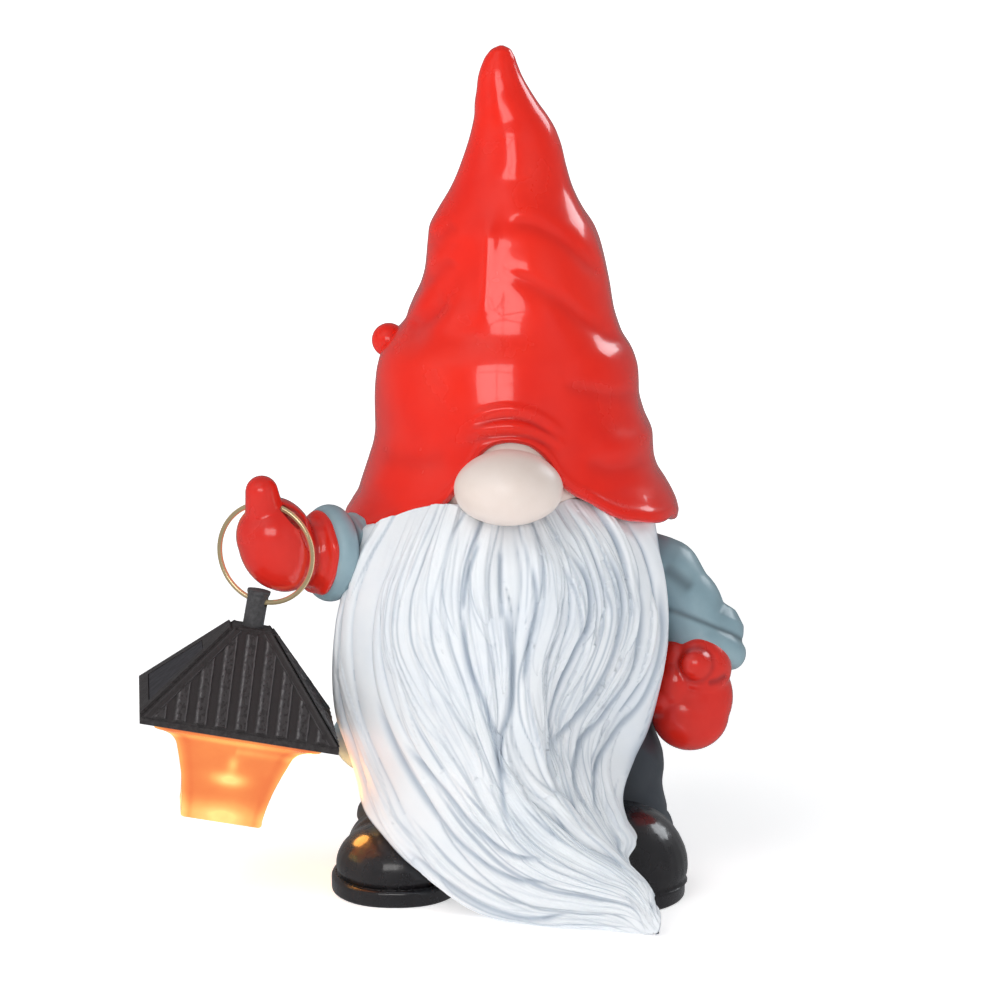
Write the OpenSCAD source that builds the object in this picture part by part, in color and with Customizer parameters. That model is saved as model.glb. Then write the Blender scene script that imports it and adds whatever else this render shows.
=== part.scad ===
// Garden gnome with a solar lantern hung from its raised mitten.
// A painted, hollow-cast figure stands on its two boot soles; the lantern hangs on a wire ring
// that passes through the raised mitten. +Z is up, the gnome faces -Y, millimetres.

/* [Figure] */
// Height of the hat's tip above the ground
figure_h = 250; // [246:1:254]
// Wall thickness of the cast hat
hat_wall = 4; // [3:0.5:5]
// Wall thickness of the cast coat
coat_wall = 4; // [3:0.5:5]
// Thickness of the beard casting in the middle
beard_t = 7; // [5:0.5:8]
// Height of the boot welts
sole_h = 5; // [4:0.5:6]

/* [Hanging ring] */
// Mean radius of the wire ring
ring_r = 14.8; // [14.6:0.1:15]
// Wire diameter of the ring
wire_d = 1.5; // [1.2:0.1:1.6]
// Bore through the fist that the ring turns in, diameter
fist_bore_d = 5.4; // [5.3:0.1:5.6]
// Cross bore through the hanger post, diameter
post_bore_d = 2.5; // [2.4:0.1:2.8]

/* [Lantern] */
// Side of the square roof at the eaves
roof_w = 58; // [56:1:59]
// Side of the flat square top of the roof
roof_top_w = 10.5; // [9:0.5:12]
// Height of the roof from eaves to flat top
roof_h = 26.7; // [26:0.1:28]
// Wall thickness of the roof
roof_wall = 1.8; // [1.6:0.1:2]
// Diameter of the hanger post
post_d = 6.2; // [6:0.1:7]
// Spacing of the roof battens
batten_pitch = 5.9; // [5:0.1:7]
// Depth of the lens below the chassis plate
lens_h = 29; // [27:0.5:30]
// Wall thickness of the lens
lens_wall = 1.3; // [1:0.1:1.6]

/* [Lantern inside] */
// Diameter of the rechargeable cell
cell_d = 10.5; // [10:0.1:10.8]
// Length of the rechargeable cell
cell_l = 30; // [29:0.5:30]
// Diameter of the light-emitting diode
led_d = 5; // [4.8:0.1:5]
// Travel of the on-off slider
switch_travel = 2; // [1.5:0.1:2]

/* [Hidden] */

// the design is drawn about the figure's own axis and moved once, so that the origin
// is under the middle of the whole object
ox = 17.925;
oy = 12.035;

c_red = [0.80, 0.10, 0.07];
c_white = [0.88, 0.91, 0.95];
c_skin = [0.86, 0.79, 0.75];
c_grey = [0.50, 0.60, 0.64];
c_trouser = [0.32, 0.38, 0.44];
c_boot = [0.07, 0.07, 0.08];
c_black = [0.12, 0.12, 0.13];
c_brass = [0.80, 0.62, 0.32];
c_amber = [1.0, 0.60, 0.20, 0.7];
c_steel = [0.7, 0.7, 0.72];

// ---------- helpers ----------

// value of column k of table t at position z
function tab(t, z, k) = lookup(z, [for (r = t) [r[0], r[k]]]);
function mix(a, b, f) = a + (b - a) * f;
function clamp01(v) = max(0, min(1, v));
function unit(v) = v / norm(v);

// closed solid through a list of equal rings, anticlockwise seen from the far end;
// the end caps fan out from a middle point, or the first one is a single flat face
module loft(rings, flat_first = false) {
    n = len(rings[0]);
    m = len(rings);
    a = [for (r = rings) each r];
    mid0 = [for (k = [0:2]) sumk(rings[0], k) / n];
    mid1 = [for (k = [0:2]) sumk(rings[m - 1], k) / n];
    pts = concat(a, [mid0, mid1]);
    sides = [for (j = [0:m - 2]) for (i = [0:n - 1]) each
        [[j*n + i, (j+1)*n + i, (j+1)*n + (i+1) % n],
         [j*n + i, (j+1)*n + (i+1) % n, j*n + (i+1) % n]]];
    first = flat_first ? [[for (i = [0:n - 1]) i]]
                       : [for (i = [0:n - 1]) [i, (i+1) % n, n*m]];
    last = [for (i = [0:n - 1]) [(m-1)*n + (i+1) % n, (m-1)*n + i, n*m + 1]];
    polyhedron(pts, concat(first, last, sides), convexity = 10);
}
function sumk(r, k, i = 0) = i >= len(r) ? 0 : r[i][k] + sumk(r, k, i + 1);

// closed solid through slices that are each k points along the front and k back again
module loft_slab(rings, k) {
    n = 2 * k;
    m = len(rings);
    pts = [for (r = rings) each r];
    sides = [for (j = [0:m - 2]) for (i = [0:n - 1]) each
        [[j*n + i, (j+1)*n + i, (j+1)*n + (i+1) % n],
         [j*n + i, (j+1)*n + (i+1) % n, j*n + (i+1) % n]]];
    o = (m - 1) * n;
    first = [for (i = [0:k - 2]) each [[i, i+1, n-1-i], [i+1, n-2-i, n-1-i]]];
    last = [for (i = [0:k - 2]) each [[o+i, o+n-1-i, o+i+1], [o+i+1, o+n-1-i, o+n-2-i]]];
    polyhedron(pts, concat(first, last, sides), convexity = 10);
}

// level ring: centre, half sizes, height, corner fullness p (2 = ellipse)
function oval(cx, cy, z, rx, ry, n = 40, p = 2) =
    [for (i = [0:n - 1]) let (t = 360 * i / n, c = cos(t), s = sin(t))
        [cx + rx * sign(c) * pow(abs(c), 2 / p), cy + ry * sign(s) * pow(abs(s), 2 / p), z]];

// round rod along a smooth path
module rod(path, r, n = 10) {
    m = len(path);
    ups = [0, 0, 1];
    rings = [for (j = [0:m - 1])
        let (t = unit(path[min(m - 1, j + 1)] - path[max(0, j - 1)]),
             ref = abs(t[2]) > 0.9 ? [1, 0, 0] : ups,
             u = unit(cross(ref, t)), v = cross(t, u))
        [for (i = [0:n - 1]) path[j] + r * (cos(360 * i / n) * u + sin(360 * i / n) * v)]];
    loft(rings);
}
function bez(a, b, c, d, n = 14) = [for (i = [0:n]) let (t = i / n, s = 1 - t)
    s*s*s*a + 3*s*s*t*b + 3*s*t*t*c + t*t*t*d];

// ---------- hat ----------

// hat outline: height, left edge, right edge, half depth
HAT = [[100, -46.5, 53.2, 47], [109, -46.8, 53.2, 47], [113, -45, 52.8, 46.5],
       [120, -42, 49.6, 44.5], [131, -38.4, 45.8, 41], [142, -37.5, 43, 39],
       [157, -35, 40.2, 36.5], [168, -28.6, 35.2, 31.5], [179, -24.3, 32.7, 28],
       [190, -22, 30.3, 26], [200, -19.2, 25.4, 22], [211, -13.6, 20.4, 17.5],
       [225, -8.6, 16.2, 12.4], [236, -7.3, 9, 8.2], [243, -6, 5.5, 5.8],
       [248, -3.6, 3.2, 3.4], [250, -0.6, 1.2, 1]];
// lower edge of the hat: angle from the front, height
RIM = [[-180, 107], [-110, 108.5], [-90, 109], [-68, 110], [-58, 110.6], [-53, 112.6],
       [-41, 116.6], [-32, 118.9], [-27, 121.4], [-22.7, 125.7], [-18, 131.9],
       [-14, 135.7], [-10, 137.8], [-3, 139.4], [3, 139.4], [8, 138], [12.6, 134.8],
       [16, 131.5], [18.3, 128.5], [22, 125.7], [31, 121.3], [37, 117.8], [50, 114.2],
       [65, 111.8], [75, 112.2], [90, 109], [110, 108], [180, 107]];
hat_n = 56;
function hat_pt(t, z, off) =
    let (zz = z * 250 / figure_h,
         xl = tab(HAT, zz, 1), xr = tab(HAT, zz, 2), d = tab(HAT, zz, 3),
         cx = (xl + xr) / 2, hw = max(0.6, (xr - xl) / 2 - off),
         // shallow folds that run round the cloth
         fold = 0.9 * sin(zz * 9 + t * 2) * clamp01((zz - 120) / 20) * clamp01((225 - zz) / 30)
                * (off > 0 ? 0 : 1))
    [cx + hw * sin(t), 2 - max(0.5, d - off + fold) * cos(t), z];
hat_z = [0, 0.03, 0.08, 0.15, 0.23, 0.31, 0.39, 0.46, 0.53, 0.6, 0.67, 0.74, 0.8, 0.86, 0.91, 0.95, 0.98, 1];
function hat_ring(f, off, top) = [for (i = [0:hat_n - 1])
    let (t = 360 * i / hat_n, tt = t > 180 ? t - 360 : t, zr = lookup(tt, RIM),
         z = mix(zr + (off > 0 ? 0.01 : 0), top, f))
    hat_pt(t, z, off)];
module hat() {
    color(c_red) translate([ox, oy, 0]) {
        inner = [for (i = [8:-1:0]) hat_ring([0, .06, .14, .25, .37, .5, .63, .76, .88][i], hat_wall, 214)];
        outer = [for (f = hat_z) hat_ring(f, 0, figure_h)];
        loft(concat(inner, outer));
        // round bump of cloth on the left of the hat
        translate([-32.6, 9, 161]) sphere(r = 4.6, $fn = 32);
    }
}

// solid the size of the hat, a little full, that other pieces are cut back to
module hat_room() {
    loft([for (f = concat([-0.003], hat_z)) hat_ring(f, -0.15, figure_h)]);
}

// ---------- head, nose, beard ----------

module head_shape() {
    loft([for (r = [[118, 24, 24], [120, 31, 30.2], [124, 34.2, 33.4], [130, 35, 34.2],
                    [138, 33, 32], [146, 28, 27], [152, 20, 20], [155, 9, 9.5]])
          oval(3.2, 0.4, r[0], r[1], r[2], 40)], true);
}
module head() {
    color(c_skin) translate([ox, oy, 0]) head_shape();
}

nose_c = [2.3, -45, 127.4];
module nose() {
    // a ball with a hollow seat at the back that fits the head
    color(c_skin) translate([ox, oy, 0]) difference() {
        translate([nose_c[0], -32.6, nose_c[2]]) rotate([90, 0, 0])
            loft([for (f = [0, 0.08, 0.17, 0.27, 0.38, 0.5, 0.62, 0.73, 0.82, 0.9, 0.96, 0.99])
                  let (h = 25.7 * f, q = (h - 12.4) / 13.4, k = sqrt(max(0, 1 - q * q)))
                  oval(0, 0, h, 16.2 * k, 11.6 * k, 40)], true);
        head_shape();
    }
}

// beard slices from the top down: left edge x y z, right edge x y z, forward bulge
BEARD = [[-41.5, -24, 108.0, 46.6, -20, 109.4, 23], [-45.6, -28, 98, 49.6, -24, 88.6, 25],
         [-48.2, -29, 82.2, 49.6, -25, 75.1, 27], [-48.6, -29.5, 65.4, 47.6, -26, 60.9, 28],
         [-47.2, -30, 48.8, 43.2, -30, 47.9, 27], [-43.4, -35.5, 36.4, 38.3, -36, 38.2, 22],
         [-40.9, -41.5, 28.3, 36.6, -43, 31.4, 17], [-35.5, -46, 21.6, 39.3, -50, 23.5, 14],
         [-29, -50.5, 14.8, 40.1, -54, 20.4, 11], [-17.8, -53.5, 7.5, 37.4, -56.5, 17.6, 8],
         [-6, -57, 2.2, 39.6, -59.5, 12.3, 6.5], [11.5, -63, 1.2, 42.7, -63.5, 8.8, 4.5],
         [28.8, -68, 0.9, 45.4, -67.5, 6.6, 2.6], [41.6, -72, 0.8, 46.3, -71.7, 4.4, 0.8]];
// upper edge of the beard, under the hat and the nose: x, height
BTOP = [[-42, 108], [-37, 111.4], [-30, 115.6], [-24, 117.8], [-18, 119], [-12, 118.4], [-6, 116.4],
        [2, 115.2], [10, 116.2], [16, 118.4], [24, 119], [29, 118.4], [33, 116.6], [41, 113.2],
        [46, 110.6], [47.5, 110]];
bk = 30;
beard_rows = 30;
function bcol(v, k) = let (q = v * (len(BEARD) - 1), i = min(len(BEARD) - 2, floor(q)))
    mix(BEARD[i][k], BEARD[i + 1][k], q - i);
function beard_pt(s, v, off) =
    let (x0 = mix(bcol(v, 0), bcol(v, 3), s), z0 = mix(bcol(v, 2), bcol(v, 5), s),
         top = lookup(x0, BTOP) - z0,
         edge = sin(180 * clamp01(s)),
         // locks of hair as ridges that run down the beard
         lock = 0.9 * sin(360 * (s * 13 + 0.35 * sin(300 * v)) + 60 * v) * edge * (1 - 0.5 * v)
                * clamp01(v * 8),
         th = off * (0.45 + 0.55 * edge) * mix(1, 0.45, v))
    [x0, mix(bcol(v, 1), bcol(v, 4), s) - bcol(v, 6) * pow(edge, 0.75) + (off > 0 ? th : lock),
     max(0.4, z0 + max(0, top) * pow(1 - v, 6) * (v < 0.25 ? 1 : 0) + (v == 0 ? min(0, top) : 0))];
module beard() {
    color(c_white) translate([ox, oy, 0])
        loft_slab([for (j = [beard_rows:-1:0]) let (v = j / beard_rows)
            concat([for (i = [0:bk - 1]) beard_pt(i / (bk - 1), v, 0)],
                   [for (i = [bk - 1:-1:0]) beard_pt(i / (bk - 1), v, beard_t)])], bk);
}

// solid a little fuller than the beard, that the raised sleeve is cut back to
module beard_room() {
    grow = [for (i = [0:bk - 1]) i == 0 ? -0.5 : i == bk - 1 ? 0.5 : 0];
    loft_slab([for (j = [beard_rows:-1:0]) let (v = j / beard_rows)
        concat([for (i = [0:bk - 1]) beard_pt(i / (bk - 1), v, 0) + [grow[i], -5, 0]],
               [for (i = [bk - 1:-1:0]) beard_pt(i / (bk - 1), v, beard_t) + [grow[i], 0.4, 0]])], bk);
}

// ---------- coat, trousers, boots ----------

// coat outline: height, centre x, half width, half depth, fullness
COAT = [[33.5, 0.5, 43, 33, 2.2], [34.5, 0.5, 46.5, 36.5, 2.2], [38, 0.3, 49, 39, 2.2],
        [42, 0.3, 49, 39.5, 2.2], [46, 0.6, 46.8, 38.5, 2.2], [56, 0.8, 46.4, 38, 2.2],
        [68, 1, 45.6, 37.4, 2.3], [78, 1, 41.5, 36, 2.5], [84, 1, 38, 34.5, 3],
        [90, 1, 36.2, 33.5, 3.4], [104, 1, 35.4, 31.5, 3.6], [113, 1, 32.5, 28.5, 3.2],
        [118, 1, 27, 24, 2.6]];
module coat_room() {
    loft([for (r = COAT) oval(r[1], 1, r[0] + (r[0] > 117 ? 0.1 : 0), r[2] + 0.1, r[3] + 0.1, 48, r[4])]);
}
module coat() {
    color(c_grey) translate([ox, oy, 0]) difference() {
        n = 48;
        outer = [for (r = COAT) oval(r[1], 1, r[0], r[2], r[3], n, r[4])];
        inner = [for (i = [len(COAT) - 2:-1:1]) let (r = COAT[i])
            oval(r[1], 1, r[0] - (i == len(COAT) - 2 ? 2 : 0), r[2] - coat_wall, r[3] - coat_wall, n, r[4])];
        loft(concat(inner, [oval(0.5, 1, 33.5, 39.5, 29.5, n, 2.2)], outer));
        // shallow dent that the lowered mitten rests in
        glove_shape(0.15);
    }
}

module trousers() {
    color(c_trouser) translate([ox, oy, 0]) {
        // waist block that is glued up inside the coat
        translate([0, 0, 33.3]) linear_extrude(height = 9.7)
            polygon([for (p = oval(0.7, 1, 0, 38, 28, 40, 2.2)) [p[0], p[1]]]);
        for (l = [[-26.5, -2], [32.5, -6]]) {
            translate([0, 0, 22.4]) linear_extrude(height = 11)
                polygon([for (p = oval(l[0], l[1], 0, 17, 17.5, 32, 2.2)) [p[0], p[1]]]);
            translate([0, 0, 18.4]) linear_extrude(height = 4.4)
                polygon([for (p = oval(l[0], l[1], 0, 18.2, 18.8, 32, 2.2)) [p[0], p[1]]]);
        }
    }
}

// boot: centre x, toe y, heel y, half width; ankle centre
function foot(cx, cy, z, hw, front, back, n = 40) = [for (i = [0:n - 1])
    let (t = 360 * i / n, s = sin(t))
    [cx + hw * sign(cos(t)) * pow(abs(cos(t)), 0.86), cy + (s < 0 ? front : back) * sign(s) * pow(abs(s), 0.9), z]];
module boot(cx, toe, ax, ay) {
    cy = toe + 25;
    color(c_boot) translate([ox, oy, 0])
        loft([foot(cx, cy, 0, 19.4, 24.6, 27.6), foot(cx, cy, 1, 20, 25.2, 28.2),
              foot(cx, cy, sole_h - 0.8, 20, 25.2, 28.2), foot(cx, cy, sole_h, 19.2, 24.4, 27.4),
              foot(cx, cy, sole_h + 0.6, 18.6, 23.4, 26.4), foot(cx, cy, sole_h + 3.5, 19, 23, 26.4),
              foot(mix(cx, ax, .2), cy + 0.5, 11, 18.6, 21.4, 25.6), foot(mix(cx, ax, .5), mix(cy, ay, .4), 14.2, 17.4, 17.4, 22),
              foot(mix(cx, ax, .8), mix(cy, ay, .8), 16.6, 16, 15, 18), foot(ax, ay, 18.1, 14.5, 14.5, 15.5)], true);
}
module boot_left() { boot(-31.2, -45.5, -26.5, -2); }
module boot_right() { boot(35.6, -50.5, 32.5, -6); }

// ---------- arms ----------

// raised arm: axis direction from the cuff to the hand, and the cuff's centre
arm_d = unit([-0.86, -0.5, 0.09]);
cuff_c = [-54.6, -24.6, 102.9];
module along(p, d) {
    translate(p) rotate([0, acos(d[2]), atan2(d[1], d[0])]) children();
}
module sleeve_raised() {
    color(c_grey) translate([ox, oy, 0]) difference() {
        union() {
            hull() {
                along(cuff_c - 4.6 * arm_d, arm_d) cylinder(r = 12.6, h = 1, $fn = 32);
                along(cuff_c - 12 * arm_d, arm_d) cylinder(r = 12, h = 2, $fn = 32);
                translate([-33, -7, 95.6]) sphere(r = 11.4, $fn = 32);
            }
            // rolled hem of the sleeve
            along(cuff_c - 4.4 * arm_d, arm_d) rotate_extrude($fn = 48)
                translate([11.4, 0]) circle(r = 2.6, $fn = 24);
        }
        // the end is shaped to sit against the coat, the beard and the hat
        coat_room();
        beard_room();
        hat_room();
    }
}

// ring frame: centre of the ring, and the direction of its plane seen from above
ring_yaw = -20;
ring_c = [-68.8, -32, 104.6];
ring_e = [cos(ring_yaw), sin(ring_yaw), 0];
function ring_at(a, b) = ring_c + a * ring_e + [0, 0, b];
chord_a = [-6.4, 13.35];
chord_b = [12.0, 8.66];
chord_m = (chord_a + chord_b) / 2;
chord_u = unit(chord_b - chord_a);
// the bore runs beside the chord, towards the arc, so that the wire sits inside it
bore_off = (ring_r - norm(chord_m)) / 2;
bore_m = chord_m + bore_off * unit(chord_m);

module mitten_raised() {
    color(c_red) translate([ox, oy, 0]) difference() {
        union() {
            hull() {
                translate([-66.8, -30, 110]) sphere(r = 11, $fn = 32);
                translate([-63, -28.8, 101.4]) sphere(r = 9.2, $fn = 32);
            }
            // thumb
            hull() {
                translate([-69.6, -33, 123]) sphere(r = 5, $fn = 28);
                translate([-68.6, -32, 112]) sphere(r = 6.2, $fn = 28);
            }
            // wrist and flared glove cuff
            hull() {
                along(cuff_c - 1.6 * arm_d, arm_d) cylinder(r = 8.5, h = 1, $fn = 32);
                translate([-62, -26.5, 106]) sphere(r = 7, $fn = 28);
            }
            hull() {
                along(cuff_c - 1.5 * arm_d, arm_d) cylinder(r = 12.8, h = 1.4, $fn = 40);
                along(cuff_c - 0.1 * arm_d, arm_d) cylinder(r = 9.6, h = 1.2, $fn = 40);
            }
        }
        p = ring_at(bore_m[0], bore_m[1]);
        d = chord_u[0] * ring_e + [0, 0, chord_u[1]];
        along(p - 26 * d, d) cylinder(d = fist_bore_d, h = 52, $fn = 48);
        // the wire leaves the bore beside the cuff, so the crease is cut back there
        hull() {
            translate(ring_at(12.4, 8)) sphere(r = 2.4, $fn = 24);
            translate(ring_at(15.4, 0)) sphere(r = 2.4, $fn = 24);
        }
        // and a countersink where it leaves on the other side
        translate(ring_at(-8, 12.4)) sphere(r = 2.6, $fn = 24);
    }
}

module sleeve_lowered() {
    color(c_grey) translate([ox, oy, 0]) difference() {
        union() {
            hull() {
                translate([34, 1, 95.5]) sphere(r = 11.6, $fn = 32);
                translate([51.5, -1, 93.5]) sphere(r = 11.6, $fn = 32);
            }
            hull() {
                translate([52.6, -1.2, 92.5]) sphere(r = 11.2, $fn = 32);
                along([61.5, -5.5, 68.6], unit([0.3, -0.14, -0.94])) cylinder(r = 9.4, h = 1, $fn = 32);
            }
            along([61.9, -5.7, 67.2], unit([0.3, -0.14, -0.94])) rotate_extrude($fn = 48)
                translate([9, 0]) circle(r = 3, $fn = 24);
        }
        // the top is shaped to the coat, and the hem has a socket for the mitten
        coat_room();
        glove_shape(0.15);
    }
}

// lowered mitten, g = how much fuller all round
module glove_shape(g) {
    hull() {
        translate([60, -9.6, 60.8]) sphere(r = 8.6 + g, $fn = 32);
        translate([60, -11, 51]) sphere(r = 9 + g, $fn = 32);
        translate([53.2, -12.4, 46]) sphere(r = 7.6 + g, $fn = 32);
    }
    hull() {
        translate([58.6, -20, 66]) sphere(r = 4.4 + g, $fn = 28);
        translate([59.5, -14, 61]) sphere(r = 6.2 + g, $fn = 28);
    }
}
module mitten_lowered() {
    color(c_red) translate([ox, oy, 0]) glove_shape(0);
}

// ---------- ring and lantern ----------

module hanging_ring() {
    // open wire ring; its butt gap is hidden in the fist
    color(c_brass) translate([ox, oy, 0]) translate(ring_c) rotate([0, 0, ring_yaw])
        rotate([90, 0, 0]) rotate([0, 0, 83])
            rotate_extrude(angle = 356, $fn = 96) translate([ring_r, 0]) circle(d = wire_d, $fn = 24);
}

hang_a = 191.5;
hang_p = ring_at(ring_r * sin(hang_a), ring_r * cos(hang_a));
hang_d = -cos(hang_a) * ring_e + [0, 0, sin(hang_a)];
lan_roll = 10.4;
lan_pitch = -4.5;
lan_yaw = 5;
module in_lantern() {
    translate([ox, oy, 0]) translate(hang_p)
        rotate([0, lan_roll, 0]) rotate([lan_pitch, 0, 0]) rotate([0, 0, lan_yaw]) children();
}
// lantern levels, from the cross bore down
z_top = -7.8;
z_eave = z_top - roof_h;
z_plate = z_eave - 1.5;
W = roof_w / 2;
w_top = roof_top_w / 2;
slope_l = sqrt(pow(W - w_top, 2) + roof_h * roof_h);
sa = roof_h / slope_l;
ca = (W - w_top) / slope_l;
// half width of the roof's outer face at height z
function roof_hw(z) = w_top + (W - w_top) * (z_top - z) / roof_h;

// turns the child so that its x runs along the eave, y up the slope, z out of the face
module face(k) {
    rotate([0, 0, 90 * k]) multmatrix([[0, -ca, sa, W], [1, 0, 0, 0], [0, sa, ca, z_eave], [0, 0, 0, 1]])
        children();
}
function sq(h, z) = [[h, -h, z], [h, h, z], [-h, h, z], [-h, -h, z]];
module frustum(h0, z0, h1, z1) {
    polyhedron(concat(sq(h0, z0), sq(h1, z1)),
        [[0, 1, 2, 3], [7, 6, 5, 4], [0, 4, 5, 1], [1, 5, 6, 2], [2, 6, 7, 3], [3, 7, 4, 0]]);
}

module hanger_post() {
    color(c_black) in_lantern() difference() {
        union() {
            translate([0, 0, z_top]) cylinder(d = post_d, h = 9.4, $fn = 48);
            translate([0, 0, 1.5]) cylinder(d1 = post_d, d2 = post_d + 0.7, h = 0.9, $fn = 48);
            translate([0, 0, 2.4]) cylinder(d = post_d + 0.7, h = 0.8, $fn = 48);
            // spigot that is glued through the roof's flat top
            translate([0, 0, z_top - roof_wall - 1.6]) cylinder(r = 1.9, h = roof_wall + 1.7, $fn = 32);
        }
        // cross bore for the wire
        rotate([0, 0, -lan_yaw]) rotate([-lan_pitch, 0, 0]) rotate([0, -lan_roll, 0])
            along(-8 * hang_d, hang_d) cylinder(d = post_bore_d, h = 16, $fn = 40);
    }
}

module lantern_roof() {
    color(c_black) in_lantern() union() {
        difference() {
            union() {
                frustum(W, z_eave, w_top, z_top);
                // thin upright lip below the eaves
                translate([-W, -W, z_eave - 1.5]) cube([2 * W, 2 * W, 1.6]);
            }
            t = roof_wall / sa;
            difference() {
                frustum(W - t, z_eave, roof_hw(z_top - roof_wall) - t, z_top - roof_wall);
                for (i = [-1, 1]) for (j = [-1, 1])
                    translate([18.5 * i, 18.5 * j, z_eave]) cylinder(r = 2.3, h = 9, $fn = 24);
            }
            translate([-W + 1.4, -W + 1.4, z_eave - 2]) cube([2 * W - 2.8, 2 * W - 2.8, 2.01]);
            // hole for the post's spigot
            translate([0, 0, z_top - 4]) cylinder(r = 2, h = 6, $fn = 32);
            // pilot holes in the screw bosses
            for (i = [-1, 1]) for (j = [-1, 1])
                translate([18.5 * i, 18.5 * j, z_eave - 1]) cylinder(r = 0.9, h = 7, $fn = 24);
            // lead hole behind the solar cell
            face(2) translate([0, 12, -4]) cylinder(r = 1.2, h = 6, $fn = 24);
        }
        // battens on three faces, laid up the slope
        for (k = [-1, 0, 1]) for (i = [-4:4]) {
            u = i * batten_pitch;
            l = (W - abs(u) - 2.6) / (W - w_top) * slope_l;
            face(k) translate([u - 1.1, 0.8, -0.3]) cube([2.2, min(slope_l - 1.2, l) - 0.8, 0.9]);
        }
        // raised frame round the solar cell
        face(2) translate([0, 0, -0.3]) difference() {
            linear_extrude(height = 1.5) polygon([[-W + 1.2, 0.6], [W - 1.2, 0.6], [w_top + 0.4, slope_l - 1.2], [-w_top - 0.4, slope_l - 1.2]]);
            translate([0, 0, 0.3]) linear_extrude(height = 2) polygon(cell_shape(0));
        }
        // smooth hips
        for (k = [0:3]) rotate([0, 0, 90 * k])
            along([W - 0.75, W - 0.75, z_eave + 0.1], unit([w_top - W, w_top - W, roof_h]))
                cylinder(r = 0.75, h = norm([w_top - W, w_top - W, roof_h]) - 0.9, $fn = 16);
    }
}
// outline of the solar cell in its frame, o = inset
function cell_shape(o) = [[-19.6 + o, 4 + o], [19.6 - o, 4 + o], [6.8 - o * 0.7, 24.4 - o], [-6.8 + o * 0.7, 24.4 - o]];
module solar_cell() {
    color([0.05, 0.06, 0.12]) in_lantern() face(2) translate([0, 0, 0.02]) linear_extrude(height = 0.5) polygon(cell_shape(0.25));
}
module cell_cover() {
    color([0.7, 0.8, 0.85, 0.4]) in_lantern() face(2) translate([0, 0, 0.55]) linear_extrude(height = 0.5) polygon(cell_shape(0.25));
}

z_cb = z_eave - 1.4;
module chassis_plate() {
    h = W - 1.4 - 0.25;
    color(c_black) in_lantern() difference() {
        union() {
            translate([-h, -h, z_cb]) cube([2 * h, 2 * h, 1.3]);
            // spigot that centres the lens
            difference() {
                translate([-22.4, -22.4, z_cb - 1.6]) cube([44.8, 44.8, 1.7]);
                translate([-21.2, -21.2, z_cb - 2]) cube([42.4, 42.4, 2]);
            }
            // cradle for the cell and standoffs for the board
            for (s = [-1, 1]) translate([s * 9 - 1, 1.6, z_cb + 1.2]) difference() {
                cube([2, 14, 5]);
                translate([-1, 7, cell_d / 2 + 0.7]) rotate([0, 90, 0]) cylinder(d = cell_d + 0.3, h = 4, $fn = 40);
            }
            for (s = [-1, 1]) translate([s * 11.4, -9, z_cb + 1.2]) cylinder(r = 1.5, h = 1.6, $fn = 24);
        }
        // holder hole, switch window, screw holes
        translate([0, -3, z_cb - 1]) cylinder(r = 3.6, h = 4, $fn = 40);
        translate([-4.4, -14.4, z_cb - 1]) cube([8.8, 4.2, 4]);
        for (i = [-1, 1]) for (j = [-1, 1])
            translate([18.5 * i, 18.5 * j, z_cb - 1]) cylinder(r = 1.25, h = 4, $fn = 24);
    }
}

// lens levels below the chassis plate: depth, half width
LENS = [[0.3, 24.4], [1.6, 24.4], [2.6, 21.6], [4, 19], [6, 17.3], [9, 16.2], [13, 14.9],
        [18, 13.5], [23, 12.5], [27, 12], [29, 11.8]];
module lens() {
    k = lens_h / 29;
    outer = [for (i = [len(LENS) - 1:-1:0]) sq(LENS[i][1], z_cb - LENS[i][0] * k)];
    inner = [for (r = [[0.3, 22.75], [1.9, 22.75], [3.2, 19.6], [4.8, 17.1], [7, 15.5], [10, 14.6], [14, 13.4],
                       [18, 12.3], [23, 11.3], [27, 10.75], [27.7, 10.7]]) sq(r[1] - (lens_wall - 1.3), z_cb - r[0] * k)];
    color(c_amber) in_lantern() loft(concat(outer, inner));
}

module led_holder() {
    color([0.9, 0.9, 0.88]) in_lantern() translate([0, -3, 0]) difference() {
        union() {
            translate([0, 0, z_cb - 6]) cylinder(r = 3.5, h = 7.6, $fn = 40);
            translate([0, 0, z_cb - 1.1]) cylinder(r = 4.6, h = 1, $fn = 40);
        }
        translate([0, 0, z_cb - 7]) cylinder(r = led_d / 2 + 0.1, h = 5, $fn = 40);
        translate([0, 0, z_cb - 3]) cylinder(r = 1.7, h = 5, $fn = 32);
    }
}
module led() {
    r = led_d / 2;
    color([1, 0.9, 0.6, 0.8]) in_lantern() translate([0, -3, 0]) union() {
        rotate_extrude($fn = 48) difference() {
            union() {
                translate([0, z_cb - 9.6]) square([r, 7.4]);
                translate([0, z_cb - 9.6]) circle(r = r, $fn = 48);
            }
            translate([-10, z_cb - 20]) square([10, 30]);
        }
        for (s = [-1, 1]) translate([s * 1.27, 0, z_cb - 2.3]) cylinder(r = 0.25, h = 4, $fn = 16);
    }
}

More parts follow.
